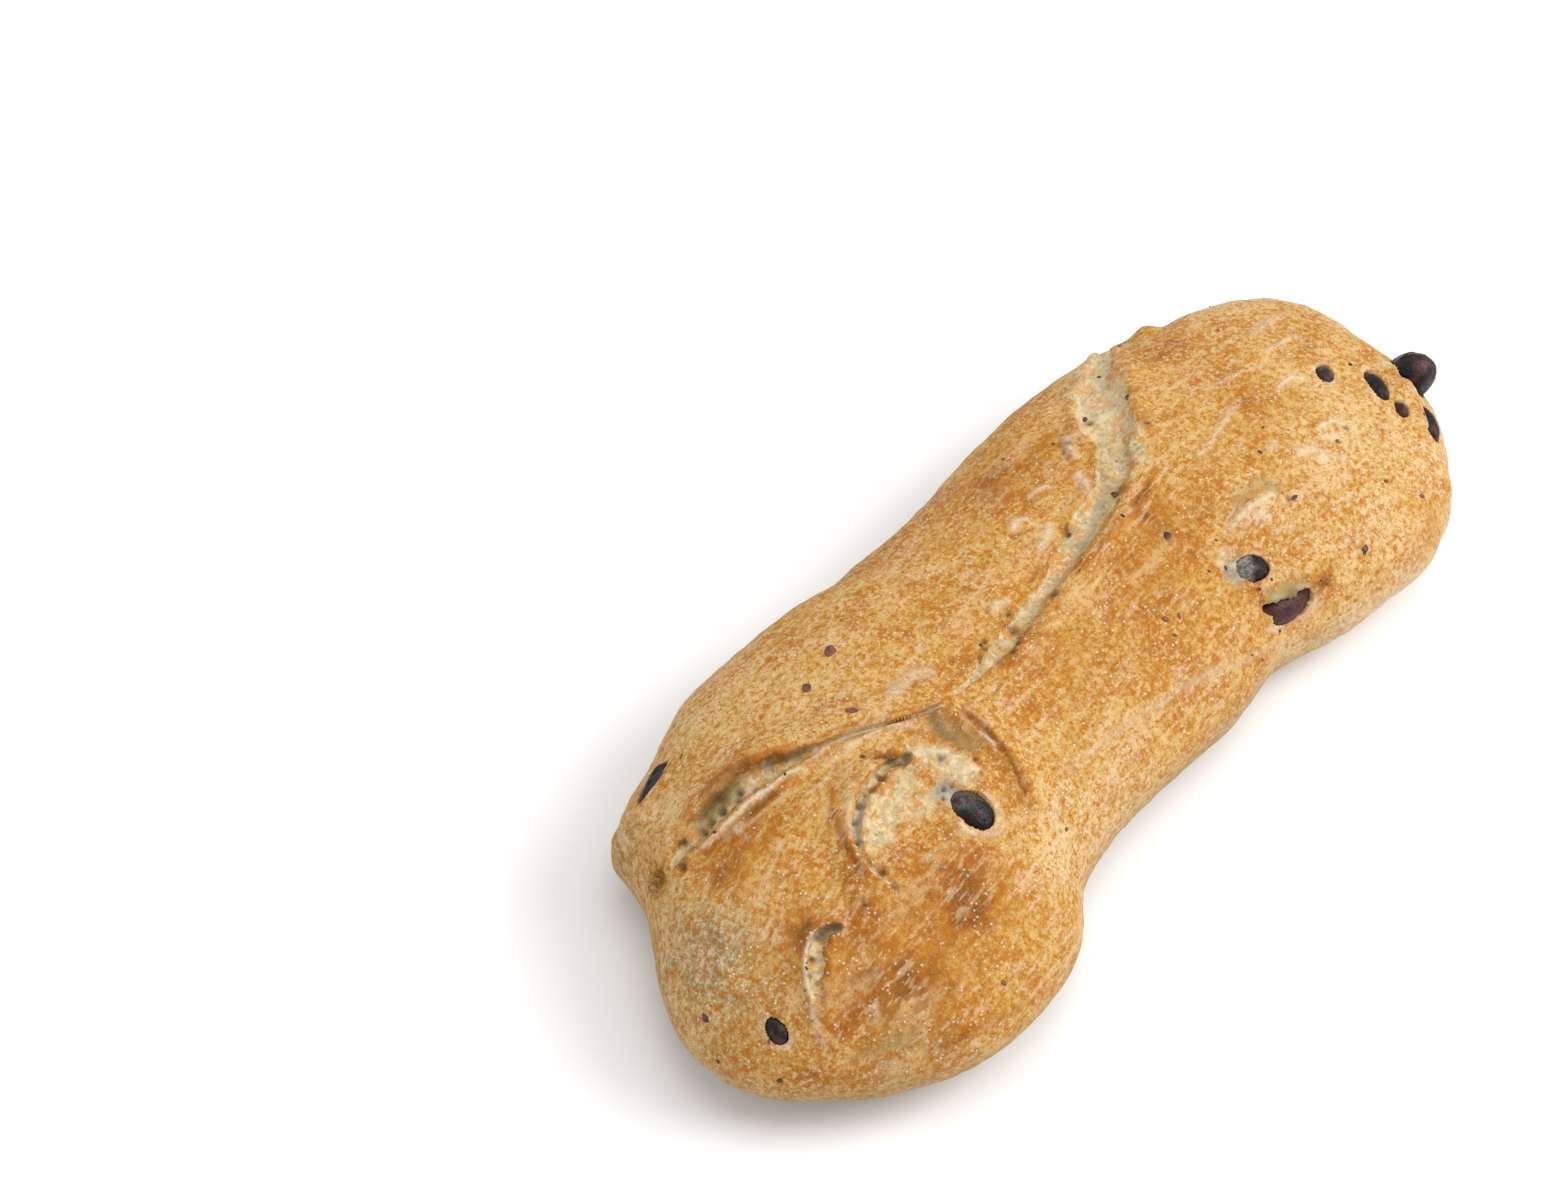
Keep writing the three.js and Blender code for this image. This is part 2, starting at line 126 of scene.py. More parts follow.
# Finer strokes over the crust, by what they add to: the line, its half-width, how
# strong it is and how far it rises.
STROKES = {
    "white": [
        ([[-46.3, 3.8], [-49.6, 8], [-53.2, 11.2], [-57.1, 13.8],
          [-63, 16.4], [-68, 17.4]], 0.55, 0.9, 0.5),
        ([[-68, 17], [-71.5, 19.6], [-75.7, 20.6], [-80, 22.4],
          [-87.6, 23.9], [-94.4, 25.7]], 0.6, 1, 0.5),
        ([[-75, 23.6], [-80, 25.2], [-85, 26.2], [-91, 27]], 0.9, 0.8, 0.3),
        # Painted highlight: this pale stroke on the arc's ridge stands for light catching it.
        ([[-38.4, -7], [-38.6, -9.5], [-38.8, -12]], 0.6, 0.9, 0.3),
        ([[-50, 1], [-48.8, -3], [-47.8, -7.4], [-47.6, -11.6]], 1.8, 0.5, 0.2),
        ([[-64.6, 6.2], [-70, 4.2], [-74.4, 0.8], [-77.4, -2.6]], 1.1, 0.45, 0.4),
        ([[-97.6, -6.6], [-102.2, -8.2], [-106, -11.4], [-108.6, -15]], 0.6, 1, 0.4),
        ([[-109, -14.6], [-111, -17], [-112, -20]], 0.9, 0.6, 0.3),
        ([[78.4, -20.8], [80.3, -20.4], [83.5, -21.3], [85.1, -23.1], [83.9, -24.9]], 0.7, 0.9, 0.4),
        ([[77.5, -22.1], [79.1, -23.9], [82, -24.9]], 1, 0.7, 0),
        ([[86.9, -25], [86.3, -26.2], [85, -27.5]], 0.7, 0.8, 0.3),
        ([[69.1, -15], [66.7, -15.6], [64.5, -15.4]], 0.9, 0.6, 0.2),
        ([[70.8, -25], [72.1, -25.8], [74.6, -26.5]], 1.4, 0.8, 0.1),
        ([[82.2, -7.7], [85.8, -6.4], [90.4, -7], [92.6, -10.6]], 0.8, 0.85, 0.4),
        ([[40.9, -20.7], [43.9, -20.4], [46.2, -20.4], [49.7, -20.9],
          [52.5, -21.8], [56.4, -22.9]], 0.9, 0.8, 0.4),
        ([[37.8, -21.7], [34.7, -22.7], [32.1, -23.3]], 1.1, 0.7, 0.2),
        ([[-58.2, -15.5], [-59.6, -18.4], [-58.9, -21.1]], 0.7, 0.9, 0.5),
        ([[68.5, -20.6], [72.2, -22.6], [74, -26]], 1.8, 0.6, 0.2),
        ([[52.1, -4.6], [61.1, -3.8], [68.5, -2.7], [74.7, -2.2]], 0.8, 0.6, 0.3),
        ([[97, 8.8], [104, 8.4], [112, 7.2]], 1.3, 0.5, 0.3),
        ([[92, 3], [99, 2], [106, 0]], 0.7, 0.5, 0.3),
        ([[72, 6], [79, 4], [85, 2.6]], 0.8, 0.4, 0.3),
        ([[-33, -25], [-17, -27.3], [-2, -30.5], [16, -35], [34, -40.5]], 1.2, 0.4, 0.4),
        ([[-36, -27], [-42.6, -30.6], [-45, -36]], 1, 0.4, 0.4),
        ([[-47, 6.2], [-53, 9.6], [-60, 12.6], [-66, 14.2]], 0.5, 0.7, 0.2),
        ([[-72, 16], [-80, 18.4], [-88, 20.4]], 0.5, 0.35, 0.2),
        ([[-60, 9], [-66, 11.4], [-74, 13]], 0.5, 0.6, 0.2),
        ([[-101.4, -24.2], [-102.5, -26.4], [-104.6, -26]], 0.7, 0.6, 0.3),
        ([[44, -20], [47.5, -22], [50, -26]], 1.6, 0.6, 0.2),
        ([[34.2, -24.8], [36, -26.6], [37, -28.4]], 0.6, 0.9, 0.2),
        ([[80, 37], [70, 34], [62, 29], [54, 23], [47, 16]], 6, 0.35, 0),
        ([[43.2, 25.2], [39.7, 21.4], [37.8, 18]], 1.3, 0.75, 0.5),
        ([[33.9, 16], [32.3, 12.8], [30.1, 9.8]], 1.4, 0.75, 0.5),
        ([[21.6, 20.6], [24.7, 20], [27, 18.3]], 1, 0.7, 0.4),
        ([[11.7, 18.7], [14.5, 18.5], [16.8, 16.9]], 1.2, 0.8, 0.5),
        ([[18.8, 12.4], [14.6, 11.1], [10.3, 10.9]], 1.3, 0.7, 0.5),
        ([[-10.5, 9], [-7.6, 8.9], [-5.1, 7.4]], 1.1, 0.7, 0.4),
        ([[-32, 8], [-34, 11.5], [-40, 12.5], [-44, 11]], 2, 0.6, 0.2),
        ([[112, -18.6], [111.4, -25], [108.6, -31]], 0.7, 0.8, 0.8),
    ],
    # Toast marks: browned lips and edges, with some strokes that are painted shadow, as marked.
    "toast_and_painted_shade": [
        ([[-41.8, 5.6], [-47, 9], [-52, 12], [-55.4, 14.8], [-59.6, 17], [-63.6, 18.6]], 0.6, 1, 0),
        ([[-66, 21], [-75, 27], [-81.6, 30.4], [-88, 31.6], [-91.4, 30]], 1.7, 1.5, 0.5),
        ([[-70, 17.6], [-77, 19.6], [-84, 21.2], [-90, 22.8], [-95, 24.4]], 1.4, 1.4, 0.3),
        ([[-36.5, -2.5], [-37, -6.6], [-37.9, -11], [-38.8, -15], [-40.5, -18]], 0.9, 0.9, 0),
        ([[-40.5, -18], [-42.7, -22], [-43, -27]], 0.9, 0.6, -0.4),
        # Painted shadow: the brown wedge where the curl begins.
        ([[-60.4, 8.6], [-58.2, 7.6], [-56.2, 4.9], [-54.6, 1.9], [-54.4, -0.6]], 1.4, 1, -0.2),
        ([[-68.4, 8.8], [-73.6, 5.6], [-77.4, 1], [-80, -3.8], [-82, -8.6]], 1.1, 1.4, 0.2),
        ([[-95, -5], [-99, -5], [-103, -7]], 1.8, 0.6, 0),
        ([[42, -19], [47, -18.4], [52, -19.4], [57, -21]], 1, 0.8, -0.5),
        ([[31.6, -5.3], [32.9, -1.8]], 1.6, 0.7, 0),
        # Painted shadow under the lip, beside the nick.
        ([[47.6, -40.6], [48.4, -42.6], [49.9, -44.8]], 1, 1.2, -0.5),
        ([[77.7, -18.4], [81.4, -18.9], [84.6, -20.2]], 0.6, 0.8, -0.4),
        ([[64.2, -41.2], [62.8, -43.4], [59.8, -43.6], [60.2, -40.8]], 0.6, 0.9, -0.3),
        ([[-100, -36.5], [-91, -41.4], [-77, -47], [-66, -49]], 1.6, 0.5, 0.3),
        # Painted shadow under the lip, beside the nick.
        ([[43.6, -37.6], [47.5, -39.8], [51.5, -41.6]], 1.2, 1, -0.5),
        ([[70.4, 34.4], [70.8, 31.4]], 0.7, 0.9, 0.2),
        ([[41.2, 25.6], [37.6, 21.6], [35.2, 18]], 0.8, 1.1, -0.4),
        ([[9.7, 17.6], [12.3, 16.4], [15.1, 15]], 0.9, 1.1, -0.4),
        ([[8, 8.3], [4.5, 7.5], [0.5, 7.5]], 0.9, 1.1, -0.3),
        ([[51.5, 18.6], [49.7, 17.6], [46.9, 19.3]], 0.9, 1.1, 0),
        ([[48.2, 10.8], [45.6, 10]], 0.9, 1.1, 0),
        ([[66, 25], [64, 23]], 1.2, 1.2, -0.4),
        ([[43.5, 26.4], [39.6, 22], [35.9, 19]], 1.8, 0.7, 0),
        ([[48.7, 18.6], [50.7, 17.4], [52.6, 16]], 0.9, 0.9, -0.2),
        ([[6.4, 8], [9.6, 5.2]], 1.3, 0.8, -0.2),
        ([[54, 10], [49, 4.6], [43.2, 1.4], [38.8, 0],
          [30.8, -0.7], [20.3, -0.4], [10, -0.4]], 1, 1, 0.3),
        ([[-26, 9.4], [-27.2, 7]], 0.7, 0.9, -0.3),
        ([[-36.8, 10.8], [-38.8, 10.2]], 0.6, 0.9, -0.3),
    ],
    # Dark marks, mostly painted shade: under the fold's upper lip, in the curl's wedge and notches, at
    # the crescent's start and under the lip by the nick.
    "dark_and_painted_shade": [
        ([[-63.5, 18.4], [-68.3, 21.4], [-71, 23.4], [-73.6, 25]], 0.7, 0.7, -0.3),
        ([[-77, 26.4], [-81, 28.2], [-85, 29.2], [-89, 29.6]], 0.8, 0.5, -0.5),
        ([[-41, 4], [-43, -0.5], [-43, -5]], 1.3, 0.5, -0.4),
        ([[-58.4, 6.6], [-56.8, 4.2], [-55.6, 1.6], [-55.2, -0.2]], 1, 0.8, -0.7),
        ([[-59.8, 2.3], [-61.4, 2.1]], 1, 0.9, -0.6),
        ([[-63, 2.1], [-65, 2]], 0.7, 0.8, -0.4),
        ([[-93.3, -10.8], [-95.6, -8.9], [-98.4, -8.3]], 1, 0.9, -0.3),
        ([[-109.6, 10.4], [-107, 10.4]], 1.6, 0.35, 0),
        ([[35, -35.4], [38, -37], [41, -38.2], [44, -39]], 1.4, 0.6, -0.3),
    ],
    "green": [
        ([[-78, 26.4], [-82, 27.6], [-86, 28.4], [-92, 28.6]], 1.8, 1.1, -0.6),
        ([[-40, 5], [-42.5, -1], [-41.8, -6], [-41.7, -10]], 2.2, 0.8, -0.5),
        ([[-112, -25.4], [-105, -30.4], [-98, -34.6]], 1.4, 0.6, -0.3),
        ([[46.8, -17.4], [52, -18], [56.6, -19.6], [57, -24]], 1.6, 0.7, -0.5),
        ([[34.6, -34], [37.4, -35.6], [41, -37.2], [45, -38.6]], 2.2, 1.2, -0.2),
        ([[48, 19], [44.6, 16.5], [39.6, 12.7], [34.9, 8.9],
          [25.4, 5.3], [13.9, 3.8]], 1.2, 0.55, -0.2),
        ([[8, 3], [2.5, 2], [-1.1, 2.2], [-7.2, 2.1], [-14.2, 1.3], [-20, 0.8]], 1.3, 0.5, -0.2),
    ],
    "crumb": [
        ([[-51.4, 3], [-50, -2], [-48.4, -6.6], [-48.2, -11], [-49.4, -14.6]], 3.2, 1, -0.3),
        ([[-55, -4.4], [-61.2, -2.6], [-67.5, -2.8], [-73, -4.6], [-77.8, -7.6]], 4.2, 1, -0.3),
        ([[-55, -8], [-60, -7.4], [-65, -7]], 3, 0.9, -0.2),
        ([[78, 38], [69, 36.5], [61, 32], [53, 27], [45, 20]], 6, 0.55, 0),
        ([[68.6, 26], [60.3, 21.4], [53, 15.6], [49.7, 10.6], [44, 6.4], [38, 5]], 3, 1, -0.4),
    ],
    # Grey marks, mostly painted shade: beside the front and right-flank olives and along the floors of
    # the curl and the split.
    "grey_and_painted_shade": [
        ([[-66.6, 1.9], [-71.3, 0.2], [-74.4, -1.4], [-77, -3.6]], 0.8, 0.8, -0.2),
        ([[33, -24], [34.6, -26.4], [36, -28.6]], 2.8, 1.1, -0.4),
        ([[-54.6, -7.4], [-54.6, -9.8], [-54.4, -12.4]], 2.9, 1.1, -0.4),
        ([[39.6, 12], [33, 8], [25.4, 5.6], [17.7, 4], [8, 3], [-3, 2]], 0.8, 0.4, -0.3),
        ([[-41, 13.4], [-42, 12.4]], 0.9, 0.6, -0.3),
    ],
}

# Pores and pinholes: place, radius, depth. Each is also painted dark, as painted shade in it.
PITS = [
    ([51.8, 23.5], 0.8, 1.2), ([34.8, 5.9], 1.3, 1.2), ([19.2, 8.3], 1.3, 1.2),
    ([2.7, 0.8], 0.9, 0.6), ([-22.3, 3.4], 0.6, 0.8), ([-13.5, -0.4], 0.8, 0.8),
    ([-16, -0.7], 0.8, 0.8), ([-19.1, 4.4], 0.8, 0.6), ([71, 30.4], 0.7, 0.6),
    ([54.4, 10.2], 0.8, 0.5), ([41, 22.8], 0.9, 0.6), ([-48.9, -4.6], 0.9, 1.0),
    ([-53.6, 1], 1.0, 1.0), ([-44, -10.4], 0.6, 0.6), ([-99, 27.3], 1.2, 1.4),
    ([-94.4, 29.7], 0.9, 0.8), ([-78.6, -10.6], 1.1, 0.9), ([-80, -14.6], 0.9, 0.6),
    ([-79.5, 26], 0.8, 0.9), ([-77, 23.6], 0.5, 0.7), ([-90.4, 27.8], 0.8, 0.9),
    ([-66, 2.4], 0.5, 0.5), ([-72.6, 0.4], 0.7, 0.8), ([-76.2, -2.6], 0.7, 0.8),
    ([-69.2, 2], 0.8, 0.9), ([-101.6, -9.6], 0.6, 0.7), ([-104.6, -11.4], 0.6, 0.7),
    ([-84.6, 27], 0.9, 1.0), ([-81, 25.6], 0.7, 0.9), ([-88, 27.4], 0.9, 1.0),
    ([-54.6, -9.4], 0.5, 0.6), ([-56.4, -10.6], 0.5, 0.5), ([-52.8, -10.4], 0.5, 0.5),
    ([-8.1, 5.9], 0.8, 1.0), ([-10.1, 2.7], 0.9, 1.0), ([-21.7, 4], 0.7, 0.8),
    ([-17.7, 5.5], 0.7, 0.8), ([56.9, -26.3], 0.7, 0.5), ([84.6, -24.6], 0.6, 0.4),
    ([-87, -12], 0.5, 0.3),
]

# Olives: place, [length, width, thickness], how deep the middle lies under the
# crust, and the long axis's turn in plan, in degrees.
OLIVES = {
    "olive_front": ([-54.1, -17.6], [12, 8.8, 8.6], 3.3, -100),
    "olive_front_small": ([-116.5, -11.2], [7.5, 5.5, 5.5], 2, 60),
    "olive_left_flank": ([-88, 46.2], [20, 4, 6], 2.7, 176),
    "olive_right_flank": ([38.1, -29.4], [9, 6.8, 6.6], 2.3, 300),
    "olive_under_lip": ([38.5, -39], [15, 8, 7.5], 2.9, -24),
    "olive_far_top": ([98, -11.7], [8, 4.6, 6], 2.2, 36),
    "olive_far_middle": ([105, -22], [11, 5, 7], 2.4, 56),
    "olive_far_brown": ([102.3, -30.5], [5.5, 3.4, 4.5], 1.6, 52),
    "olive_far_out": ([115, -25.4], [11.5, 10, 12], -1.2, 120),
    "olive_far_low": ([106.6, -35.8], [11, 5, 5.5], 1.6, 62),
}
POCKET_GAP = 0.3
# Which way an olive is smeared with flour, and how much; and how red its flesh shows.
FLOURED = {"olive_right_flank": ((-0.6, 0.8), 0.7), "olive_front": ((0.3, 1), 0.2)}
REDDISH = {"olive_under_lip": 1, "olive_far_brown": 1, "olive_far_out": 0.1, "olive_far_low": 0.3}

# ---- Colour zones on the crust, in plan: place, radius, strength ----

TOASTED = [
    ([-69, -26], 10, 1.2), ([-72, -29], 5, 0.6), ([-92, -25], 13, 1.0), ([-104, -14], 8, 0.6),
    ([-96, -32], 7, 0.5), ([-90, 17], 9, 0.7), ([-100, 0], 9, 0.4), ([-101, -5], 6, 0.5),
    ([35, 26], 9, 0.8), ([22, 32], 8, 0.6), ([33, -3.5], 8, 1.1), ([14, -12], 14, 0.4),
    ([24, -16], 12, 0.4), ([-12, -9], 10, 0.6), ([-25, -23], 6, 0.5), ([86, 22], 10, 0.3),
    ([78, -6], 6, 0.4), ([84.6, -12.5], 5, 0.5), ([59.9, -23.9], 4, 0.4), ([65, -8.5], 7, 0.4),
    ([93, -31], 4, 0.5), ([80, -53], 6, 0.8), ([-96, -27], 14, 0.5), ([-43, -4], 6, 1.0),
    ([-97, 17], 6, 0.6), ([-85, 20], 5, 0.8),
]
PALE = [
    ([90, -30], 20, 0.9), ([60, -40], 16, 0.6), ([-110, 12], 12, 0.5), ([-118, 4], 9, 0.3),
    ([-55, 22], 12, 0.5), ([52, -21], 6, 0.9), ([-20, -34], 12, 0.6), ([-35, -30], 9, 0.9),
    ([-48, -36], 9, 0.8), ([100, 20], 16, 0.5), ([-66, 50], 22, 0.5), ([-104, -38], 7, 0.6),
    ([-89, 36], 7, 0.6),
]
STAINED = [
    ([-109.5, 10], 6, 1.0), ([-106, 4], 4, 0.7), ([-97, 43], 5, 0.9), ([-103, -34], 6, 0.5),
    ([-114, 17], 10, 0.9), ([-116, 3], 8, 0.7), ([-112, -8], 8, 0.4), ([-110, 33], 8, 0.4),
]

# Small olive flecks seen on the crust: place and length.
FLECKS = [
    ([-52, 16.5], 2.6), ([-39.5, 31.6], 3.6), ([-50, 29.5], 2.8), ([-76, 44], 1.6),
    ([-79.6, -42], 1.8), ([-121.5, 3.7], 2), ([-121, -15.5], 1.6), ([31, -11], 2.4),
    ([14, -21.6], 1.6), ([16.5, -23.4], 1.4), ([12, -25], 1.2), ([52.1, 24.6], 2),
    ([34.9, 6.2], 2.8), ([19.4, 8], 2.6), ([59.9, 19], 1.8), ([67, 31], 1.4), ([61, -45], 2.2),
    ([83, -47], 1.8), ([58, -27], 1.8), ([79, -39.5], 1.4),
]

# ---- Small helpers ----


def smooth_through(numbers, t):
    """Smooth values at t (0 to 1) through numbers, or points, that stand at even steps."""
    values = np.asarray(numbers, float)
    last = len(values) - 1
    place = np.clip(t, 0, 1) * last
    at = np.floor(place).astype(int)
    w = place - at
    w = w.reshape(w.shape + (1,) * (values.ndim - 1))
    before = values[np.maximum(at - 1, 0)]
    here = values[at]
    after = values[np.minimum(at + 1, last)]
    beyond = values[np.minimum(at + 2, last)]
    leaving = (after - before) / 2
    arriving = (beyond - here) / 2
    cubic = 2 * (here - after) + leaving + arriving
    square = 3 * (after - here) - 2 * leaving - arriving
    return ((cubic * w + square) * w + leaving) * w + here


def rounded_ends(t, start_power, end_power=None):
    """0 at both ends and 1 in the middle, as round as the power says."""
    power = np.where(np.asarray(t) < 0.5, start_power, end_power or start_power)
    return np.maximum(1 - np.abs(2 * t - 1) ** power, 0) ** (1 / power)


def bell(distance, width):
    return np.exp(-((distance / width) ** 2))


def smoothstep(value, low, high):
    x = np.clip((value - low) / (high - low), 0, 1)
    return x * x * (3 - 2 * x)


FAR = 1e3  # mm, further than any two places on the loaf


def unit(vectors):
    return vectors / np.maximum(np.linalg.norm(vectors, axis=-1, keepdims=True), 1e-9)


LATTICE_SIZE = 65536
LATTICE_KEYS = (73856093, 19349663, 83492791)
LATTICE = np.random.default_rng(20).uniform(-1, 1, LATTICE_SIZE)
SEED_STEP = 17.31  # cells from one seed's noise to the next


def noise(points, size, seed=0):
    """Smooth noise from -1 to 1 over points, with bumps about size across."""
    cells = np.asarray(points, float) / size + seed * SEED_STEP
    low = np.floor(cells).astype(np.int64)
    share = cells - low
    share = share * share * (3 - 2 * share)
    total = 0
    for corner in product((0, 1), repeat=3):
        at = low + corner
        key = np.bitwise_xor.reduce(at * np.array(LATTICE_KEYS), axis=-1)
        weight = np.prod(np.where(corner, share, 1 - share), axis=-1)
        total = total + weight * LATTICE[key & (LATTICE_SIZE - 1)]
    return total


def waves(points, layers):
    """A sum of noises, each given as its size, height and seed."""
    return sum(height * noise(points, size, seed) for size, height, seed in layers)


# ---- The smooth loaf ----


def section_at(t):
    ends = rounded_ends(t, BROAD_END["width"], FAR_END["width"])
    left = smooth_through(LEFT_HALF_WIDTHS, t) * ends
    right = smooth_through(RIGHT_HALF_WIDTHS, t) * ends
    height = smooth_through(HEIGHTS, t)
    girth = height * GIRTH_LEVEL
    return {
        "x": (t - 0.5) * LENGTH,
        "middle": (left - right) / 2,
        "half_width": (left + right) / 2,
        "girth": girth,
        "crown": (height - girth) * rounded_ends(t, BROAD_END["height"], FAR_END["height"]),
        "under": girth * UNDER_REACH * rounded_ends(t, BROAD_END["under"], FAR_END["under"]),
    }


def loaf_point(t, angle):
    """Points of the skin: angle 0 is the left flank and a quarter turn is the top."""
    s = section_at(t)
    across, up = np.cos(angle), np.sin(angle)
    power = np.where(up >= 0, CROWN_POWER, UNDER_POWER)
    radius = (np.abs(across) ** power + np.abs(up) ** power) ** (-1 / power)
    y = s["middle"] + s["half_width"] * radius * across
    z = s["girth"] + np.where(up >= 0, s["crown"], s["under"]) * radius * up
    return np.stack([s["x"] + 0 * y, y, np.maximum(z, 0)], axis=-1)


END_GAP = 0.001  # of the length, kept clear of the ends, where the crown has no height


def crown_height(x, y):
    s = section_at(np.clip(x / LENGTH + 0.5, END_GAP, 1 - END_GAP))
    share = np.minimum(np.abs((y - s["middle"]) / s["half_width"]), 1)
    return s["girth"] + s["crown"] * (1 - share**CROWN_POWER) ** (1 / CROWN_POWER)


class PlanLine:
    """A line over the crust, with its points kept for measuring."""

    STEPS = 48
    PLAN_REACH = 40
    CRUST_REACH = 14

    def __init__(self, points):
        self.flat = smooth_through(points, np.linspace(0, 1, self.STEPS + 1))
        self.raised = None
        self.normals = None

    def from_plan(self, x, y):
        """How far places lie to the line's left in plan, and how far along it they are."""
        return self._nearest(np.stack([x, y], axis=-1), self.flat, self.PLAN_REACH)[:2]

    def on_crust(self, points):
        """The same over the crust's surface, with the left and outward directions there."""
        if self.raised is None:
            self.raised, self.normals = crust_at(self.flat[:, 0], self.flat[:, 1])
        left, along, step = self._nearest(points, self.raised, self.CRUST_REACH)
        forward = unit(self.raised[step + 1] - self.raised[step])
        outward = self.normals[step]
        leftward = unit(np.cross(outward, forward))
        return left, along, leftward, outward

    def _nearest(self, points, line, reach):
        """Measures points within reach of the line's box; others count as far away."""
        left = np.full(len(points), FAR)
        along = np.full(len(points), 0.5)
        nearest_step = np.zeros(len(points), int)
        picked = np.all((points > line.min(0) - reach) & (points < line.max(0) + reach), axis=1)
        near = points[picked]
        best = np.full(len(near), np.inf)
        near_left, near_along, near_step = left[picked], along[picked], nearest_step[picked]
        for step in range(self.STEPS):
            run = line[step + 1] - line[step]
            offset = near - line[step]
            share = np.clip(offset @ run / (run @ run), 0, 1)
            gap = np.linalg.norm(offset - share[:, None] * run, axis=1)
            side = np.where(run[0] * offset[:, 1] > run[1] * offset[:, 0], 1, -1)
            nearer = gap < best
            best = np.where(nearer, gap, best)
            near_left = np.where(nearer, side * gap, near_left)
            near_along = np.where(nearer, (step + share) / self.STEPS, near_along)
            near_step = np.where(nearer, step, near_step)
        left[picked], along[picked], nearest_step[picked] = near_left, near_along, near_step
        return left, along, nearest_step


LINES = {}


def line_of(points):
    key = id(points)
    if key not in LINES:
        LINES[key] = PlanLine(points)
    return LINES[key]


def relief_at(x, y):
    """How far the crust stands off the smooth loaf over places in plan."""
    rise = np.zeros(np.shape(x))
    for points, left_of, width, height in RIBS:
        left, along = line_of(points).from_plan(x, y)
        rise += height * bell(left - left_of, width) * rounded_ends(along, 2) ** 0.5
    for (at_x, at_y), radius, height in SWELLS:
        rise += height * bell(np.hypot(x - at_x, y - at_y), radius)
    return rise


def crust_at(x, y):
    """The crust over places in plan: points and the way they face."""
    x, y = np.atleast_1d(np.asarray(x, float)), np.atleast_1d(np.asarray(y, float))
    step = 0.5
    slope_x = (crown_height(x + step, y) - crown_height(x - step, y)) / (2 * step)
    slope_y = (crown_height(x, y + step) - crown_height(x, y - step)) / (2 * step)
    normal = unit(np.stack([-slope_x, -slope_y, np.ones_like(x)], axis=-1))
    point = np.stack([x, y, crown_height(x, y)], axis=-1)
    return point + normal * relief_at(x, y)[:, None], normal


# ---- The loaf's mesh ----

FINE_STEPS = 4000
FINE_ANGLES = 1440
TYPICAL_PLACE = 0.3  # along the loaf, where a section is measured
LEAST_STEP = 0.02  # mm, so that a flat run still gets some corners
RELIEF_FADE = (1, 10)  # mm above the table
REFINED_WITHIN = (0.8, 0.0)  # mm from a mark, for the first and the second time

def even_stations(count):
    """Places along the loaf, evenly spaced over the top and both outlines."""
    t = 0.5 - 0.5 * np.cos(np.linspace(0, np.pi, FINE_STEPS + 1))
    s = section_at(t)
    outlines = [s["girth"] + s["crown"], s["middle"] + s["half_width"], s["middle"] - s["half_width"]]
    steps = sum(np.hypot(np.diff(s["x"]), np.diff(line)) for line in outlines)
    run = np.concatenate([[0], np.cumsum(steps)])
    return np.interp(np.linspace(0, run[-1], count + 1), run, t)


def even_angles(start, count):
    """Angles over half of a section, evenly spaced over its surface."""
    angle = start + np.linspace(0, np.pi, FINE_ANGLES + 1)
    section = loaf_point(np.full(angle.shape, TYPICAL_PLACE), angle)
    steps = np.linalg.norm(np.diff(section, axis=0), axis=1) + LEAST_STEP
    run = np.concatenate([[0], np.cumsum(steps)])
    return np.interp(np.linspace(0, run[-1], count + 1)[:-1], run, angle)


STATIONS = even_stations(RINGS)
ANGLES = np.concatenate([even_angles(0, CROWN_SIDES), even_angles(math.pi, UNDER_SIDES)])
SIDES = len(ANGLES)


def skin_point(ring, side):
    """The smooth skin's point at a ring and side, which may lie between the mesh's own."""
    t = np.interp(ring, np.arange(RINGS + 1), STATIONS)
    angle = np.interp(side, np.arange(SIDES + 1), np.append(ANGLES, 2 * math.pi))
    return loaf_point(t, angle)


def skin_normal(ring, side):
    nudge = 0.02
    inner = np.clip(ring, nudge, RINGS - nudge)
    along = skin_point(inner + nudge, side) - skin_point(inner - nudge, side)
    after = np.where(side + nudge > SIDES, side + nudge - SIDES, side + nudge)
    before = np.where(side < nudge, side - nudge + SIDES, side - nudge)
    around = skin_point(inner, after) - skin_point(inner, before)
    return unit(np.cross(around, along))


def relief_over(skin):
    """The relief over points of the smooth skin, fading out where the loaf rests."""
    x, y, z = skin.T
    return smoothstep(z, *RELIEF_FADE) * relief_at(x, y)


def grid_faces():
    """Rings and sides of the mesh's corners, and its faces, with a pole at each end."""
    rings, sides = np.meshgrid(np.arange(1, RINGS), np.arange(SIDES), indexing="ij")
    ring = np.concatenate([[0], rings.ravel(), [RINGS]]).astype(float)
    side = np.concatenate([[0], sides.ravel(), [0]]).astype(float)

    def corner(r, s):
        return 1 + (r - 1) * SIDES + s % SIDES

    faces = []
    for s in range(SIDES):
        faces.append((0, corner(1, s + 1), corner(1, s)))
        faces.append((len(ring) - 1, corner(RINGS - 1, s), corner(RINGS - 1, s + 1)))
    for r in range(1, RINGS - 1):
        for s in range(SIDES):
            faces.append((corner(r, s), corner(r, s + 1), corner(r + 1, s + 1), corner(r + 1, s)))
    return ring, side, faces


def halfway_side(a, b):
    """The side halfway between two, across the seam where the sides begin again."""
    if abs(a - b) > SIDES / 2:
        a, b = (a + SIDES, b) if a < b else (a, b + SIDES)
    return ((a + b) / 2) % SIDES


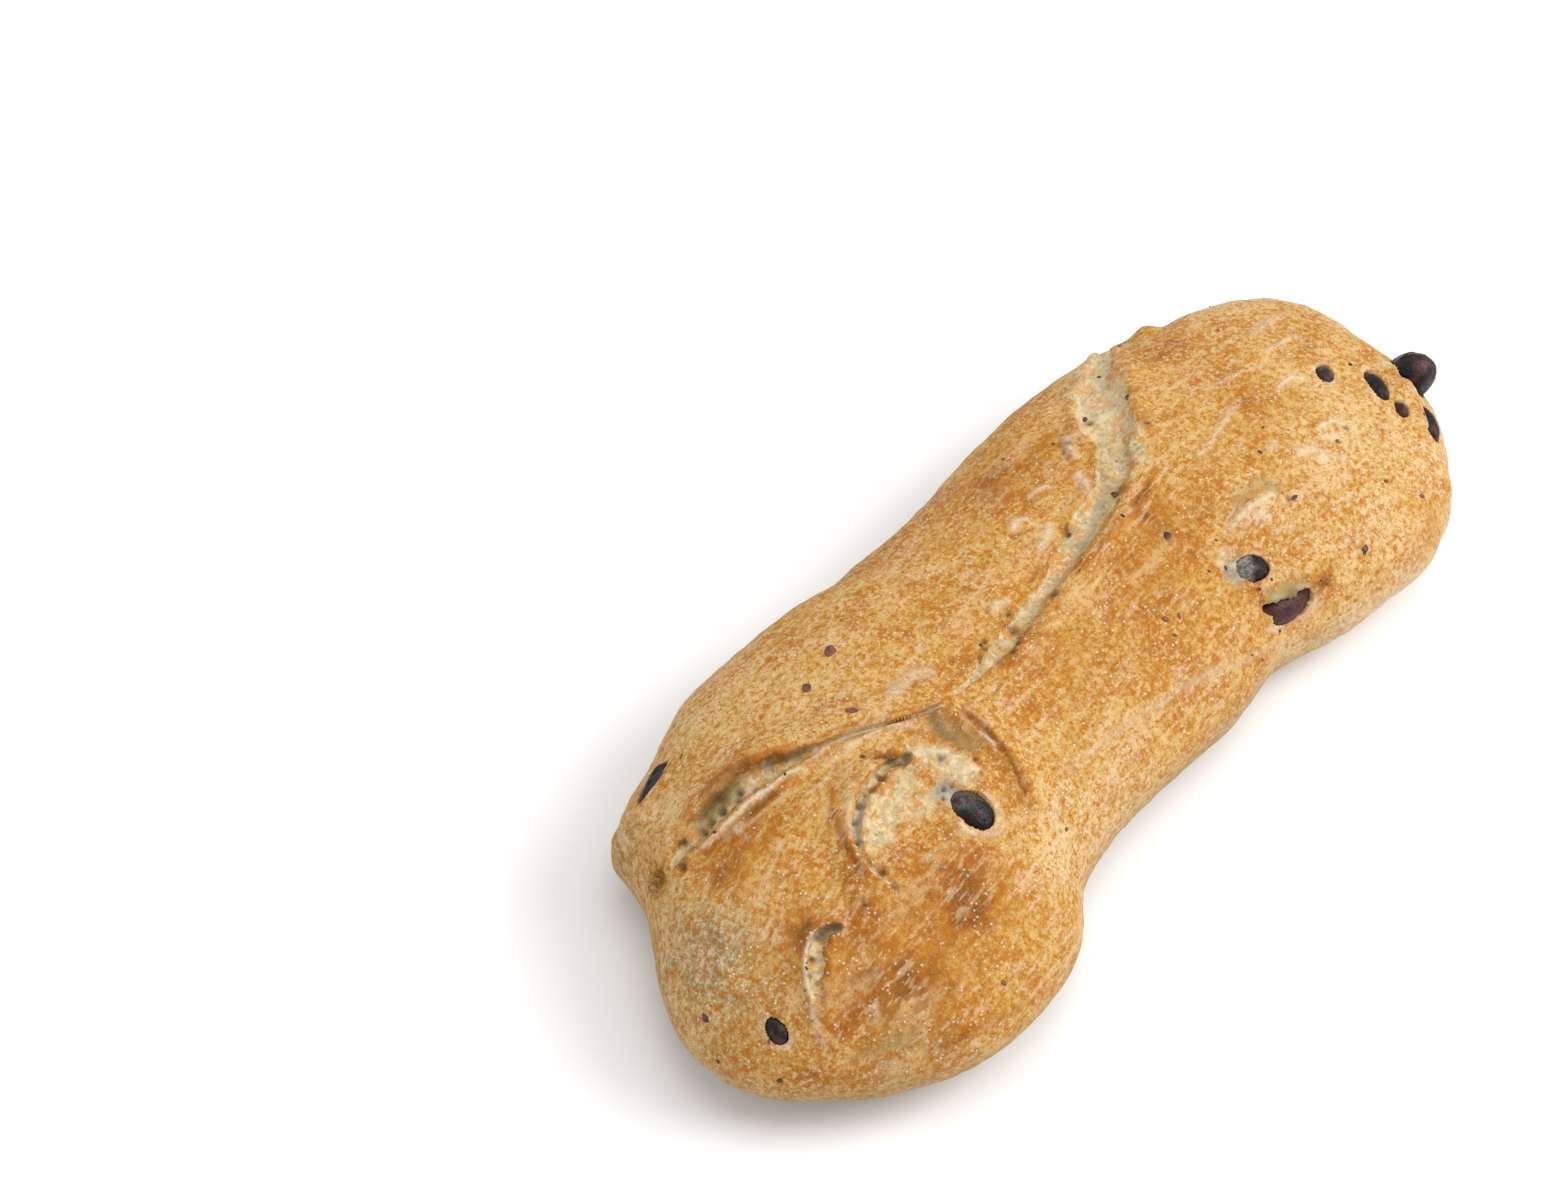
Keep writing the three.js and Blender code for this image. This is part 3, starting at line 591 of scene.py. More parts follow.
def refine(ring, side, faces, chosen):
    """Splits each chosen four-sided face into four; its neighbours take up the new corners."""
    ring, side = list(ring), list(side)
    middles = {}

    def middle(a, b):
        key = (a, b) if a < b else (b, a)
        if key not in middles:
            middles[key] = len(ring)
            ring.append((ring[a] + ring[b]) / 2)
            side.append(halfway_side(side[a], side[b]))
        return middles[key]

    split = []
    for face, pick in zip(faces, chosen):
        if pick and len(face) == 4:
            a, b, c, d = face
            ab, bc, cd, da = middle(a, b), middle(b, c), middle(c, d), middle(d, a)
            centre = len(ring)
            ring.append((ring[ab] + ring[cd]) / 2)
            side.append(halfway_side(side[da], side[bc]))
            split += [(a, ab, centre, da), (ab, b, bc, centre), (centre, bc, c, cd), (da, centre, cd, d)]
    for face, pick in zip(faces, chosen):
        if not (pick and len(face) == 4):
            grown = []
            for a, b in zip(face, face[1:] + face[:1]):
                grown.append(a)
                key = (a, b) if a < b else (b, a)
                if key in middles:
                    grown.append(middles[key])
            split.append(tuple(grown))
    return np.array(ring), np.array(side), split


def nearness(points):
    """How far points are from the nearest tear's edge, stroke, pit or olive, in mm."""
    gap = np.full(len(points), FAR)
    for line, widths, *_ in TEARS:
        left, along, *_ = line_of(line).on_crust(points)
        gap = np.minimum(gap, np.abs(np.abs(left) - smooth_through(widths, along) / 2))
    for line, half, strength, _ in sum(STROKES.values(), []):
        left = line_of(line).on_crust(points)[0]
        gap = np.minimum(gap, np.abs(left) - half + 1 - strength)
    for at, radius, _ in PITS:
        gap = np.minimum(gap, np.linalg.norm(points - crust_at(*at)[0], axis=1) - radius)
    for at, size, sunk, _ in OLIVES.values():
        gap = np.minimum(gap, np.linalg.norm(points - crust_at(*at)[0], axis=1) - size[0] / 2)
    return gap


def loaf_grid():
    ring, side, faces = grid_faces()
    for reach in REFINED_WITHIN:
        skin = skin_point(ring, side)
        gap = nearness(skin + relief_over(skin)[:, None] * skin_normal(ring, side))
        chosen = [min(gap[list(face)]) < reach for face in faces]
        ring, side, faces = refine(ring, side, faces, chosen)
    return ring, side, faces


# ---- Sculpting ----


SHARES = ("crumb", "white", "toast_and_painted_shade", "dark_and_painted_shade", "green", "grey_and_painted_shade", "pale", "ash", "painted_low_shade", "stain")
SHARE_LIMIT = 4


class Crust:
    """The loaf's corners as they are moved, with the shares that colour them."""

    def __init__(self, ring, side):
        skin = skin_point(ring, side)
        self.normal = skin_normal(ring, side)
        self.base = skin + relief_over(skin)[:, None] * self.normal
        self.points = self.base.copy()
        self.shares = {name: np.zeros(len(ring)) for name in SHARES}

    def push(self, amount, direction=None):
        self.points += amount[:, None] * (self.normal if direction is None else direction)

    def mark(self, name, share):
        self.shares[name] = np.maximum(self.shares[name], share)


# Layers of noise: size in mm, height and seed.
LUMPS = [(17, 0.55, 1), (8, 0.28, 2), (3.6, 0.2, 3), (2.0, 0.12, 4)]
LUMP_FADE = (0.5, 6)  # mm above the table


def shape_blisters(crust):
    """Lumps, blisters and a fine grain, fading out where the loaf rests."""
    crust.push(smoothstep(crust.base[:, 2], *LUMP_FADE) * waves(crust.base, LUMPS))


TEAR_REACH = 12  # mm to either side
TEAR_TAPER = 2.5
RAGGED_WAVES = [(0.16, 23, 1), (0.1, 61, 0)]  # swing, pace along the tear and start
RAGGED_NOISE = [(2.2, 0.22, 7)]
FLOOR_NOISE = [(2.6, 0.22, 8), (1.1, 0.16, 9)]
SPREAD_POWER = 0.7  # less than 1 draws corners out to the tear's walls
LIP_OUT = 0.9  # mm from the tear's edge
LIP_WIDTH = 1.1
SINGED_WIDTH = 1.2
SINGED_SHARE = 0.5


def shape_tear(crust, line, widths, depths, lean, lips, sharpness, crumb):
    left, along, leftward, outward = line_of(line).on_crust(crust.base)
    near = np.abs(left) < TEAR_REACH
    taper = rounded_ends(along, TEAR_TAPER)
    ragged = 1 + sum(swing * np.sin(pace * along + start) for swing, pace, start in RAGGED_WAVES)
    half = smooth_through(widths, along) / 2 * taper * ragged
    half = half * (1 + waves(crust.base, RAGGED_NOISE)) + 0.001
    u = left / half
    inside = near & (np.abs(u) < 1) & (taper > 0.02)
    sharp = np.maximum(1 - np.abs(u) ** 4, 0) ** 0.5
    soft = np.maximum(1 - u**2, 0)
    sharp_share = np.where(u < 0, sharpness[1], sharpness[0])
    floor = np.where(inside, sharp_share * sharp + (1 - sharp_share) * soft, 0)
    rough = 1 + waves(crust.base, FLOOR_NOISE)
    sink = smooth_through(depths, along) * taper * floor * rough
    spread = np.where(inside, np.sign(u) * (np.abs(u) ** SPREAD_POWER - np.abs(u)) * half, 0)
    crust.push(-sink, outward)
    crust.push(spread + sink * math.tan(math.radians(lean)), leftward)
    edge = np.abs(left) - half
    curl = np.where(left > 0, lips[0], lips[1]) * bell(edge - LIP_OUT, LIP_WIDTH) * taper
    crust.push(np.where(near & ~inside, curl, 0), outward)
    crust.mark("crumb", crumb * floor)
    singed = SINGED_SHARE * bell(edge, SINGED_WIDTH) * taper
    crust.mark("toast_and_painted_shade", np.where(near & ~inside, singed, 0))


STROKE_TAPER = 2.5
STROKE_WANDER = [(2.0, 0.3, 13)]


def shape_strokes(crust):
    wander = 1 + waves(crust.base, STROKE_WANDER)
    for kind, strokes in STROKES.items():
        for line, half, strength, rise in strokes:
            left, along, _, outward = line_of(line).on_crust(crust.base)
            share = bell(left / (half * wander), 1) * rounded_ends(along, STROKE_TAPER)
            crust.mark(kind, strength * share)
            crust.push(rise * share, outward)


PIT_WANDER = [(0.9, 0.3, 14)]
PIT_REACH = 3  # radii
PIT_PAINTED_SHADE = 0.9


def shape_pits(crust):
    wander = 1 + waves(crust.base, PIT_WANDER)
    for at, radius, depth in PITS:
        centre, outward = (value[0] for value in crust_at(*at))
        gap = np.linalg.norm(crust.base - centre, axis=1) / radius
        share = bell(gap * wander, 1) * (gap < PIT_REACH)
        crust.push(-depth * share, outward[None, :])
        # Painted shade: the pit is darkened as if shadowed.
        crust.mark("dark_and_painted_shade", PIT_PAINTED_SHADE * share)


def olive_frame(at, turn, sunk):
    """An olive's middle, and the directions of its length, width and thickness."""
    point, normal = (value[0] for value in crust_at(*at))
    facing = math.radians(turn)
    side = unit(np.cross(normal, [math.cos(facing), math.sin(facing), 0]))
    along = np.cross(side, normal)
    return point - sunk * normal, np.array([along, side, normal])


POCKET_WOBBLE = [(2.5, 0.08, 11)]
RIM_FADE = (1.25, 1.0)  # from the pocket's middle, as shares of its half-width
RIM_FLOUR = 0.5


def shape_pockets(crust):
    wobble = 1 + waves(crust.base, POCKET_WOBBLE)
    patches = smoothstep(noise(crust.base, 3, 12), -0.2, 0.5)
    for at, size, sunk, turn in OLIVES.values():
        centre, axes = olive_frame(at, turn, sunk)
        local = (crust.points - centre) @ axes.T
        half = np.array(size) / 2 + POCKET_GAP
        share = np.hypot(local[:, 0] / half[0], local[:, 1] / half[1]) / wobble
        skin = half[2] * np.sqrt(np.maximum(1 - share**2, 0))
        covers = (share < 1) & (local[:, 2] > -skin) & (local[:, 2] < skin)
        drop = np.where(covers, local[:, 2] + skin, 0)
        crust.points -= drop[:, None] * axes[2]
        # Painted shade: the crust under and around each olive is painted dark.
        crust.mark("dark_and_painted_shade", np.where(covers, 1, 0))
        rim = smoothstep(share, *RIM_FADE) * (local[:, 2] > -half[2]) * patches
        crust.mark("white", np.where(covers, 0, RIM_FLOUR * rim))


# Heights above the table, or places along the loaf, between which a share fades in.
SPOT_FADE = (8, 16)
LOW_FADE = (27, 8)
ASH_FADE = (24, 6)
LOW_SHADE_FADE = (22, 6)
FAR_LOBE = (20, 70)
TOAST_SHARE = 0.8
LOW_PALENESS = 0.7
FAR_LOW_PALENESS = 1.2


def mark_zones(crust):
    """Broad toasting, paleness and staining over the crust, and painted shade low on the flanks."""
    x, y, z = crust.base.T

    def spots(places):
        total = np.zeros(len(x))
        for (at_x, at_y), radius, strength in places:
            total += strength * bell(np.hypot(x - at_x, y - at_y), radius)
        return total * smoothstep(z, *SPOT_FADE)

    # The flanks stay pale, ashy on the far lobe; under the waist and the broad lobe they get painted
    # shade low down, where the loaf turns under.
    far_share = smoothstep(x, *FAR_LOBE)
    paleness = LOW_PALENESS + (FAR_LOW_PALENESS - LOW_PALENESS) * far_share
    crust.shares["toast_and_painted_shade"] += TOAST_SHARE * spots(TOASTED)
    crust.shares["pale"] += spots(PALE) + paleness * smoothstep(z, *LOW_FADE)
    crust.shares["ash"] += far_share * smoothstep(z, *ASH_FADE)
    crust.shares["painted_low_shade"] += (1 - far_share) * smoothstep(z, *LOW_SHADE_FADE)
    crust.shares["stain"] += spots(STAINED)


def build_mesh(name, points, faces, attributes=None, uv=None):
    mesh = bpy.data.meshes.new(name)
    mesh.from_pydata(((points + PLAN_TO_ROW) * MM).tolist(), [], [tuple(face) for face in faces])
    for polygon in mesh.polygons:
        polygon.use_smooth = True
    for key, values in (attributes or {}).items():
        layer = mesh.attributes.new(key, "FLOAT", "POINT")
        layer.data.foreach_set("value", np.clip(values, 0, SHARE_LIMIT).astype(np.float32))
    if uv is not None:
        mesh.uv_layers.new(name="OFBake").data.foreach_set("uv", uv.astype(np.float32).ravel())
    mesh.validate()
    piece = bpy.data.objects.new(name, mesh)
    bpy.context.scene.collection.objects.link(piece)
    return piece


UV_MARGIN = 0.01


def loaf_uv(ring, side, faces):
    """Spreads the skin flat: rings along U, sides along V."""
    flat = []
    for face in faces:
        own = [side[i] for i in face if 0 < ring[i] < RINGS]
        wraps = max(own) - min(own) > SIDES / 2
        own = [v + SIDES if wraps and v < SIDES / 2 else v for v in own]
        middle = sum(own) / len(own)
        for i in face:
            v = side[i]
            if not 0 < ring[i] < RINGS:
                v = middle
            elif wraps and v < SIDES / 2:
                v += SIDES
            flat.append((ring[i] / RINGS, v / (SIDES + 1)))
    return UV_MARGIN + (1 - 2 * UV_MARGIN) * np.array(flat)


def make_loaf():
    ring, side, faces = loaf_grid()
    crust = Crust(ring, side)
    shape_blisters(crust)
    for tear in TEARS:
        shape_tear(crust, *tear)
    shape_strokes(crust)
    shape_pits(crust)
    shape_pockets(crust)
    mark_zones(crust)
    crust.points[:, 2] = np.maximum(crust.points[:, 2], 0)
    piece = build_mesh("crust", crust.points, faces, crust.shares, loaf_uv(ring, side, faces))
    return piece, crust


# ---- Olives ----


def ball(rings, sides):
    """A unit ball's points and faces, with its poles on X."""
    s = np.linspace(0, np.pi, rings + 1)[1:-1]
    a = np.linspace(0, 2 * np.pi, sides, endpoint=False)
    S, A = np.meshgrid(s, a, indexing="ij")
    body = np.stack([-np.cos(S), np.sin(S) * np.cos(A), np.sin(S) * np.sin(A)], axis=-1).reshape(-1, 3)
    points = np.concatenate([[[-1, 0, 0]], body, [[1, 0, 0]]])
    faces = []
    last = len(points) - 1
    for side in range(sides):
        after = (side + 1) % sides
        faces.append((0, 1 + after, 1 + side))
        faces.append((last, last - sides + side, last - sides + after))
        for ring in range(rings - 2):
            low, high = 1 + ring * sides, 1 + (ring + 1) * sides
            faces.append((low + side, low + after, high + after, high + side))
    return points, faces


OLIVE_RINGS = 40
OLIVE_SIDES = 48
FIRST_OLIVE_SEED = 30
OLIVE_TAPER = 0.1  # how much slimmer its front end is than its middle
FLOUR_EDGE = (-0.1, 0.15)  # lengths from the middle


def wrinkled(points, seed):
    """A unit olive's points, dented, creased and wrinkled."""
    dents = 0.09 * noise(points, 0.9, seed)
    creases = 0.05 * np.abs(noise(points, 0.45, seed + 1))
    lines = np.abs(noise(points * [0.5, 1, 1], 0.33, seed + 2))
    wrinkles = 0.035 * np.maximum(0, 1 - 5 * lines)
    return points * (1 + dents - creases - wrinkles)[:, None]


def make_olive(name, place):
    at, size, sunk, turn = place
    points, faces = ball(OLIVE_RINGS, OLIVE_SIDES)
    girth = 1 - OLIVE_TAPER * points[:, 0]
    points = points * np.stack([np.ones_like(girth), girth, girth], axis=-1)
    points = wrinkled(points, FIRST_OLIVE_SEED + list(OLIVES).index(name))
    centre, axes = olive_frame(at, turn, sunk)
    points = (points * (np.array(size) / 2)) @ axes + centre
    toward, strength = FLOURED.get(name, ((1, 0), 0))
    across = (points[:, :2] - centre[:2]) @ unit(np.array(toward, float))
    shares = {
        "flour": strength * smoothstep(across / size[0], *FLOUR_EDGE),
        "red": np.full(len(points), REDDISH.get(name, 0)),
    }
    piece = build_mesh(name + "_baked", points, faces, shares)
    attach(piece, "root")
    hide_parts(name)
    return piece


# ---- Flecks ----


STRAY_FLECKS = 42
STRAY_LENGTHS = (0.4, 1.3)
FLECK_SLIMNESS = (0.25, 0.4)  # half its width for each unit of its length
FLECK_RISE = 0.3
FLECK_LIFT = 0.02
FIRST_FLECK_SEED = 60


def fleck_places(crust, rng):
    """Corners of the crust that carry a fleck, and its length: those seen, then strays."""
    chosen = []
    faces_down = crust.normal[:, 2] < 0.1
    for place, length in FLECKS:
        gap = np.hypot(*(crust.base[:, :2] - place).T) + FAR * faces_down
        chosen.append((gap.argmin(), length))
    clear = np.flatnonzero((crust.base[:, 2] > 5) & (crust.shares["crumb"] < 0.05))
    for index in rng.choice(clear, STRAY_FLECKS, replace=False):
        chosen.append((index, rng.uniform(*STRAY_LENGTHS)))
    return chosen


def make_flecks(crust):
    """Small olive bits pressed into the crust, joined into one mesh."""
    rng = np.random.default_rng(7)
    ball_points, ball_faces = ball(8, 10)
    points, faces = [], []
    for count, (index, length) in enumerate(fleck_places(crust, rng)):
        normal = crust.normal[index]
        flat = unit(np.cross(normal, rng.normal(size=3)))
        axes = np.array([flat, np.cross(normal, flat), normal])
        bit = ball_points * [length / 2, length * rng.uniform(*FLECK_SLIMNESS), FLECK_RISE]
        bit = bit * (1 + 0.25 * noise(ball_points, 0.7, FIRST_FLECK_SEED + count))[:, None]
        faces += [tuple(i + len(ball_points) * count for i in face) for face in ball_faces]
        points.append(bit @ axes + crust.points[index] + FLECK_LIFT * normal)
    return build_mesh("olive_flecks", np.concatenate(points), faces)


# ---- Materials ----

CRUST_TINT = (0.96, 0.955, 0.64, 1)  # warms the browned crust
STRETCH = (2.6, 1, 1)  # flour streaks run along the loaf, as the dough was rolled
FINE_STRETCH = (5, 1, 1)
SET_TINT = (0.8, 0.79, 0.75, 1)  # evens the bread out against the bright, white set


def srgb(red, green, blue):
    """A colour given as it looks on a screen, 0 to 255, for a shader."""
    def linear(value):
        value /= 255
        return value / 12.92 if value <= 0.04045 else ((value + 0.055) / 1.055) ** 2.4
    return (linear(red), linear(green), linear(blue), 1)


class Shader:
    """A material's node tree, with short calls for the nodes that it needs."""

    def __init__(self, name):
        self.material = bpy.data.materials.new(name)
        self.material.use_nodes = True
        self.tree = self.material.node_tree
        self.principled = self.tree.nodes["Principled BSDF"]
        self.coordinates = self.tree.nodes.new("ShaderNodeTexCoord").outputs["Object"]

    def node(self, kind, output=0, settings=None, **inputs):
        made = self.tree.nodes.new(kind)
        for key, value in (settings or {}).items():
            setattr(made, key, value)
        for key, value in inputs.items():
            self.set(made.inputs[int(key[1:]) if key[0] == "i" and key[1:].isdigit() else key], value)
        return made.outputs[output]

    def set(self, socket, value):
        if isinstance(value, bpy.types.NodeSocket):
            self.tree.links.new(value, socket)
        else:
            socket.default_value = value

    def attribute(self, name):
        return self.node("ShaderNodeAttribute", "Fac", {"attribute_name": name})

    def noise(self, size, detail=2, roughness=0.5, stretch=None):
        place = self.coordinates
        if stretch:
            scaled = {"i0": place, "i1": [1 / length for length in stretch]}
            place = self.node("ShaderNodeVectorMath", 0, {"operation": "MULTIPLY"}, **scaled)
        return self.node(
            "ShaderNodeTexNoise", 0,
            Vector=place, Scale=1 / (size * MM), Detail=detail, Roughness=roughness,
        )

    def cells(self, size):
        """How far each place is from the middle of its cell."""
        place = self.coordinates
        return self.node("ShaderNodeTexVoronoi", "Distance", Vector=place, Scale=1 / (size * MM))

    def math(self, operation, a, b):
        return self.node("ShaderNodeMath", 0, {"operation": operation}, i0=a, i1=b)

    def plus(self, a, b):
        return self.math("ADD", a, b)

    def times(self, a, b):
        return self.math("MULTIPLY", a, b)

    def band(self, value, low, high, to_low=0.0, to_high=1.0):
        """The value moved smoothly from one span to another, and kept within it."""
        made = self.tree.nodes.new("ShaderNodeMapRange")
        made.interpolation_type = "SMOOTHSTEP"
        for key, number in (("Value", value), ("From Min", low), ("From Max", high),
                            ("To Min", to_low), ("To Max", to_high)):
            self.set(made.inputs[key], number)
        return made.outputs["Result"]

    def span(self, value, low, high, to_low=0.0, to_high=1.0):
        """As band, moved evenly."""
        moved = self.band(value, low, high, to_low, to_high)
        moved.node.interpolation_type = "LINEAR"
        return moved

    def mix(self, share, a, b, blend="MIX"):
        made = self.tree.nodes.new("ShaderNodeMix")
        made.data_type = "RGBA"
        made.blend_type = blend
        self.set(made.inputs["Factor"], share)
        self.set(made.inputs[6], a)
        self.set(made.inputs[7], b)
        return made.outputs[2]

    def ramp(self, value, stops):
        made = self.tree.nodes.new("ShaderNodeValToRGB")
        self.set(made.inputs["Fac"], value)
        elements = made.color_ramp.elements
        while len(elements) < len(stops):
            elements.new(0.5)
        for element, (place, colour) in zip(elements, stops):
            element.position = place
            element.color = srgb(*colour)
        return made.outputs["Color"]

    def finish(self, colour, roughness, height, distance):
        self.set(self.principled.inputs["Base Color"], colour)
        self.set(self.principled.inputs["Roughness"], roughness)
        bump = self.node("ShaderNodeBump", 0, Height=height, Distance=distance * MM, Strength=1.0)
        self.set(self.principled.inputs["Normal"], bump)
        return self.material


# Places from pale straw at 0 to dark brown at 1, with their colours.
BROWNING = [
    (0.0, (226, 190, 136)), (0.2, (216, 172, 110)), (0.42, (204, 151, 82)),
    (0.62, (190, 128, 60)), (0.82, (164, 102, 46)), (1.0, (128, 78, 36)),
]


def browning_of(s, share):
    browning = s.band(s.noise(24, 3, 0.55), 0.3, 0.7, 0.29, 0.58)
    for patches, swing in ((s.noise(9, 3, 0.6), 0.23), (s.noise(3.2, 4, 0.65), 0.19)):
        browning = s.plus(browning, s.span(patches, 0.3, 0.7, -swing, swing))
    # Toast marks brown the crust: real browning, and painted shadow where strokes put it.
    browning = s.plus(browning, s.times(share["toast_and_painted_shade"], 0.42))
    return s.math("SUBTRACT", browning, s.times(share["pale"], 0.36))


def floured(s, share, colour):
    """Stains, and flour in broad dust and in streaks that run along the loaf."""
    streaky = s.span(s.noise(6, 3, 0.7, STRETCH), 0.36, 0.6, 0.35, 1)
    colour = s.mix(s.times(share["stain"], streaky), colour, srgb(158, 144, 100))
    dust = s.band(s.noise(8, 4, 0.7, STRETCH), 0.5, 0.66, 0, 0.5)
    dust = s.plus(dust, s.times(share["pale"], 0.12))
    colour = s.mix(dust, colour, srgb(236, 202, 152))
    rolled = s.band(s.noise(1.6, 2, 0.6, FINE_STRETCH), 0.53, 0.64)
    rolled = s.times(rolled, s.band(s.noise(15, 2), 0.42, 0.56))
    return s.mix(s.times(rolled, 0.5), colour, srgb(240, 214, 180))


def grained(s, share, colour, specks_and_glints):
    """A fine grain that swings between saturated orange and pale flour, with pale specks that are partly
    flour and partly painted glints.
    """
    grain = s.noise(1.35, 3, 0.9)
    paler = s.times(share["pale"], 0.8)
    pale_tone = s.mix(paler, srgb(236, 192, 130), srgb(242, 216, 188))
    pale_tone = s.mix(share["toast_and_painted_shade"], pale_tone, srgb(224, 168, 88))
    floury = s.math("SUBTRACT", 1.0, s.times(share["toast_and_painted_shade"], 0.5))
    pale_grain = s.times(s.span(grain, 0.5, 0.64), floury)
    colour = s.mix(pale_grain, colour, pale_tone)
    colour = s.mix(s.span(grain, 0.5, 0.36), colour, srgb(196, 110, 8))
    return s.mix(s.times(specks_and_glints, 0.75), colour, srgb(248, 232, 216))


def crumbed(s, share, colour):
    """Open crumb in the tears, cream, white and orange, with pores painted dark as the shade in them."""
    crumb = s.mix(s.span(s.noise(3, 3, 0.75), 0.36, 0.6), srgb(182, 160, 114), srgb(234, 208, 158))
    crumb = s.mix(s.span(s.noise(4.4, 3, 0.7), 0.5, 0.6, 0, 0.85), crumb, srgb(222, 158, 74))
    crumb = s.mix(s.span(s.noise(1.3, 2, 0.7), 0.5, 0.7, 0, 0.9), crumb, srgb(240, 228, 206))
    # Painted shade: dark spots in the crumb's pores.
    crumb = s.mix(s.band(s.cells(2.3), 0.24, 0.1, 0, 0.45), crumb, srgb(120, 94, 56))
    ragged = s.plus(share["crumb"], s.span(s.noise(3.4, 3, 0.75), 0.3, 0.7, -0.45, 0.35))
    return s.mix(s.band(ragged, 0.2, 0.75), colour, crumb)


def streaked(s, share, colour):
    """The strokes' colours, then the flanks'. The grey and dark strokes carry painted shade, and the low
    band under the waist and the broad lobe is painted shade.
    """
    # Grey from dark to pale, mostly painted shade.
    grey_and_painted_shade = s.mix(s.noise(1.6, 2, 0.7), srgb(90, 92, 92), srgb(214, 212, 200))
    patchy = s.span(s.noise(1.4, 2, 0.7), 0.36, 0.54, 0.35, 1)
    layers = [
        (share["green"], 0.75, srgb(166, 148, 98)),
        (share["grey_and_painted_shade"], 0.8, grey_and_painted_shade),
        # White: flour and pale edges, and one painted highlight on the arc's ridge.
        (s.times(share["white"], patchy), 0.85, srgb(242, 226, 200)),
        # Dark: mostly painted shade, in the grooves, the pits and the olives' pockets.
        (share["dark_and_painted_shade"], 0.85, srgb(74, 46, 22)),
        (share["ash"], 0.55, srgb(236, 220, 206)),
        # Painted shade low on the flanks, where the loaf turns under.
        (share["painted_low_shade"], 0.7, srgb(166, 146, 116)),
    ]
    for amount, strength, shade in layers:
        colour = s.mix(s.times(amount, strength), colour, shade)
    return colour


def crust_material():
    s = Shader("baked_crust")
    share = {name: s.attribute(name) for name in SHARES}
    # Pale specks, partly flour and partly painted glints of light.
    specks_and_glints = s.band(s.cells(1.5), 0.26, 0.12)
    specks_and_glints = s.times(specks_and_glints, s.band(s.noise(6, 2, 0.6), 0.4, 0.6))
    colour = s.ramp(browning_of(s, share), BROWNING)
    colour = s.mix(1.0, colour, CRUST_TINT, "MULTIPLY")
    colour = floured(s, share, colour)
    colour = grained(s, share, colour, specks_and_glints)
    colour = crumbed(s, share, colour)
    colour = streaked(s, share, colour)
    colour = s.mix(1.0, colour, SET_TINT, "MULTIPLY")
    height = s.times(s.noise(0.9, 2, 0.6), 0.6)
    height = s.plus(height, s.times(s.noise(3, 2), 0.7))
    height = s.plus(height, s.times(specks_and_glints, 0.3))
    roughness = s.band(s.noise(1.6, 2), 0.3, 0.7, 0.6, 0.78)
    s.principled.inputs["Specular IOR Level"].default_value = 0.15
    return s.finish(colour, roughness, height, distance=0.4)


def olive_material():
    s = Shader("baked_olive")
    patches = s.plus(s.noise(4, 3, 0.6), s.times(s.attribute("red"), 0.2))
    colour = s.mix(s.band(patches, 0.47, 0.69), srgb(10, 8, 11), srgb(70, 30, 24))
    # Painted sheen: bluish-grey patches of painted reflection on the black skin.
    painted_sheen = s.band(s.noise(1.5, 2, 0.6), 0.55, 0.75)
    colour = s.mix(s.times(painted_sheen, 0.4), colour, srgb(84, 88, 100))
    flour = s.span(s.noise(1.6, 3, 0.8), 0.42, 0.58, 0.2, 1)
    flour = s.times(s.attribute("flour"), flour)
    colour = s.mix(flour, colour, srgb(168, 168, 156))
    height = s.plus(s.noise(0.8, 3, 0.6), s.noise(2.5, 2, 0.5))
    roughness = s.band(s.noise(2, 2), 0.3, 0.7, 0.14, 0.36)
    s.principled.inputs["Specular IOR Level"].default_value = 0.3
    return s.finish(colour, roughness, height, distance=0.3)


def fleck_material():
    s = Shader("olive_bits")
    colour = s.mix(s.band(s.noise(2.5, 2), 0.4, 0.6), srgb(56, 34, 30), srgb(124, 74, 46))
    return s.finish(colour, 0.55, s.noise(0.5, 2), distance=0.1)


def floor_material():
    s = Shader("white_table")
    shade = s.mix(s.noise(300, 1), (0.93, 0.93, 0.93, 1), (0.95, 0.95, 0.95, 1))
    return s.finish(shade, 0.9, s.noise(40, 1), distance=0.01)


# ---- Assembly ----

loaf, sculpted = make_loaf()
loaf.data.materials.append(crust_material())
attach(loaf, "root")
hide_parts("loaf")

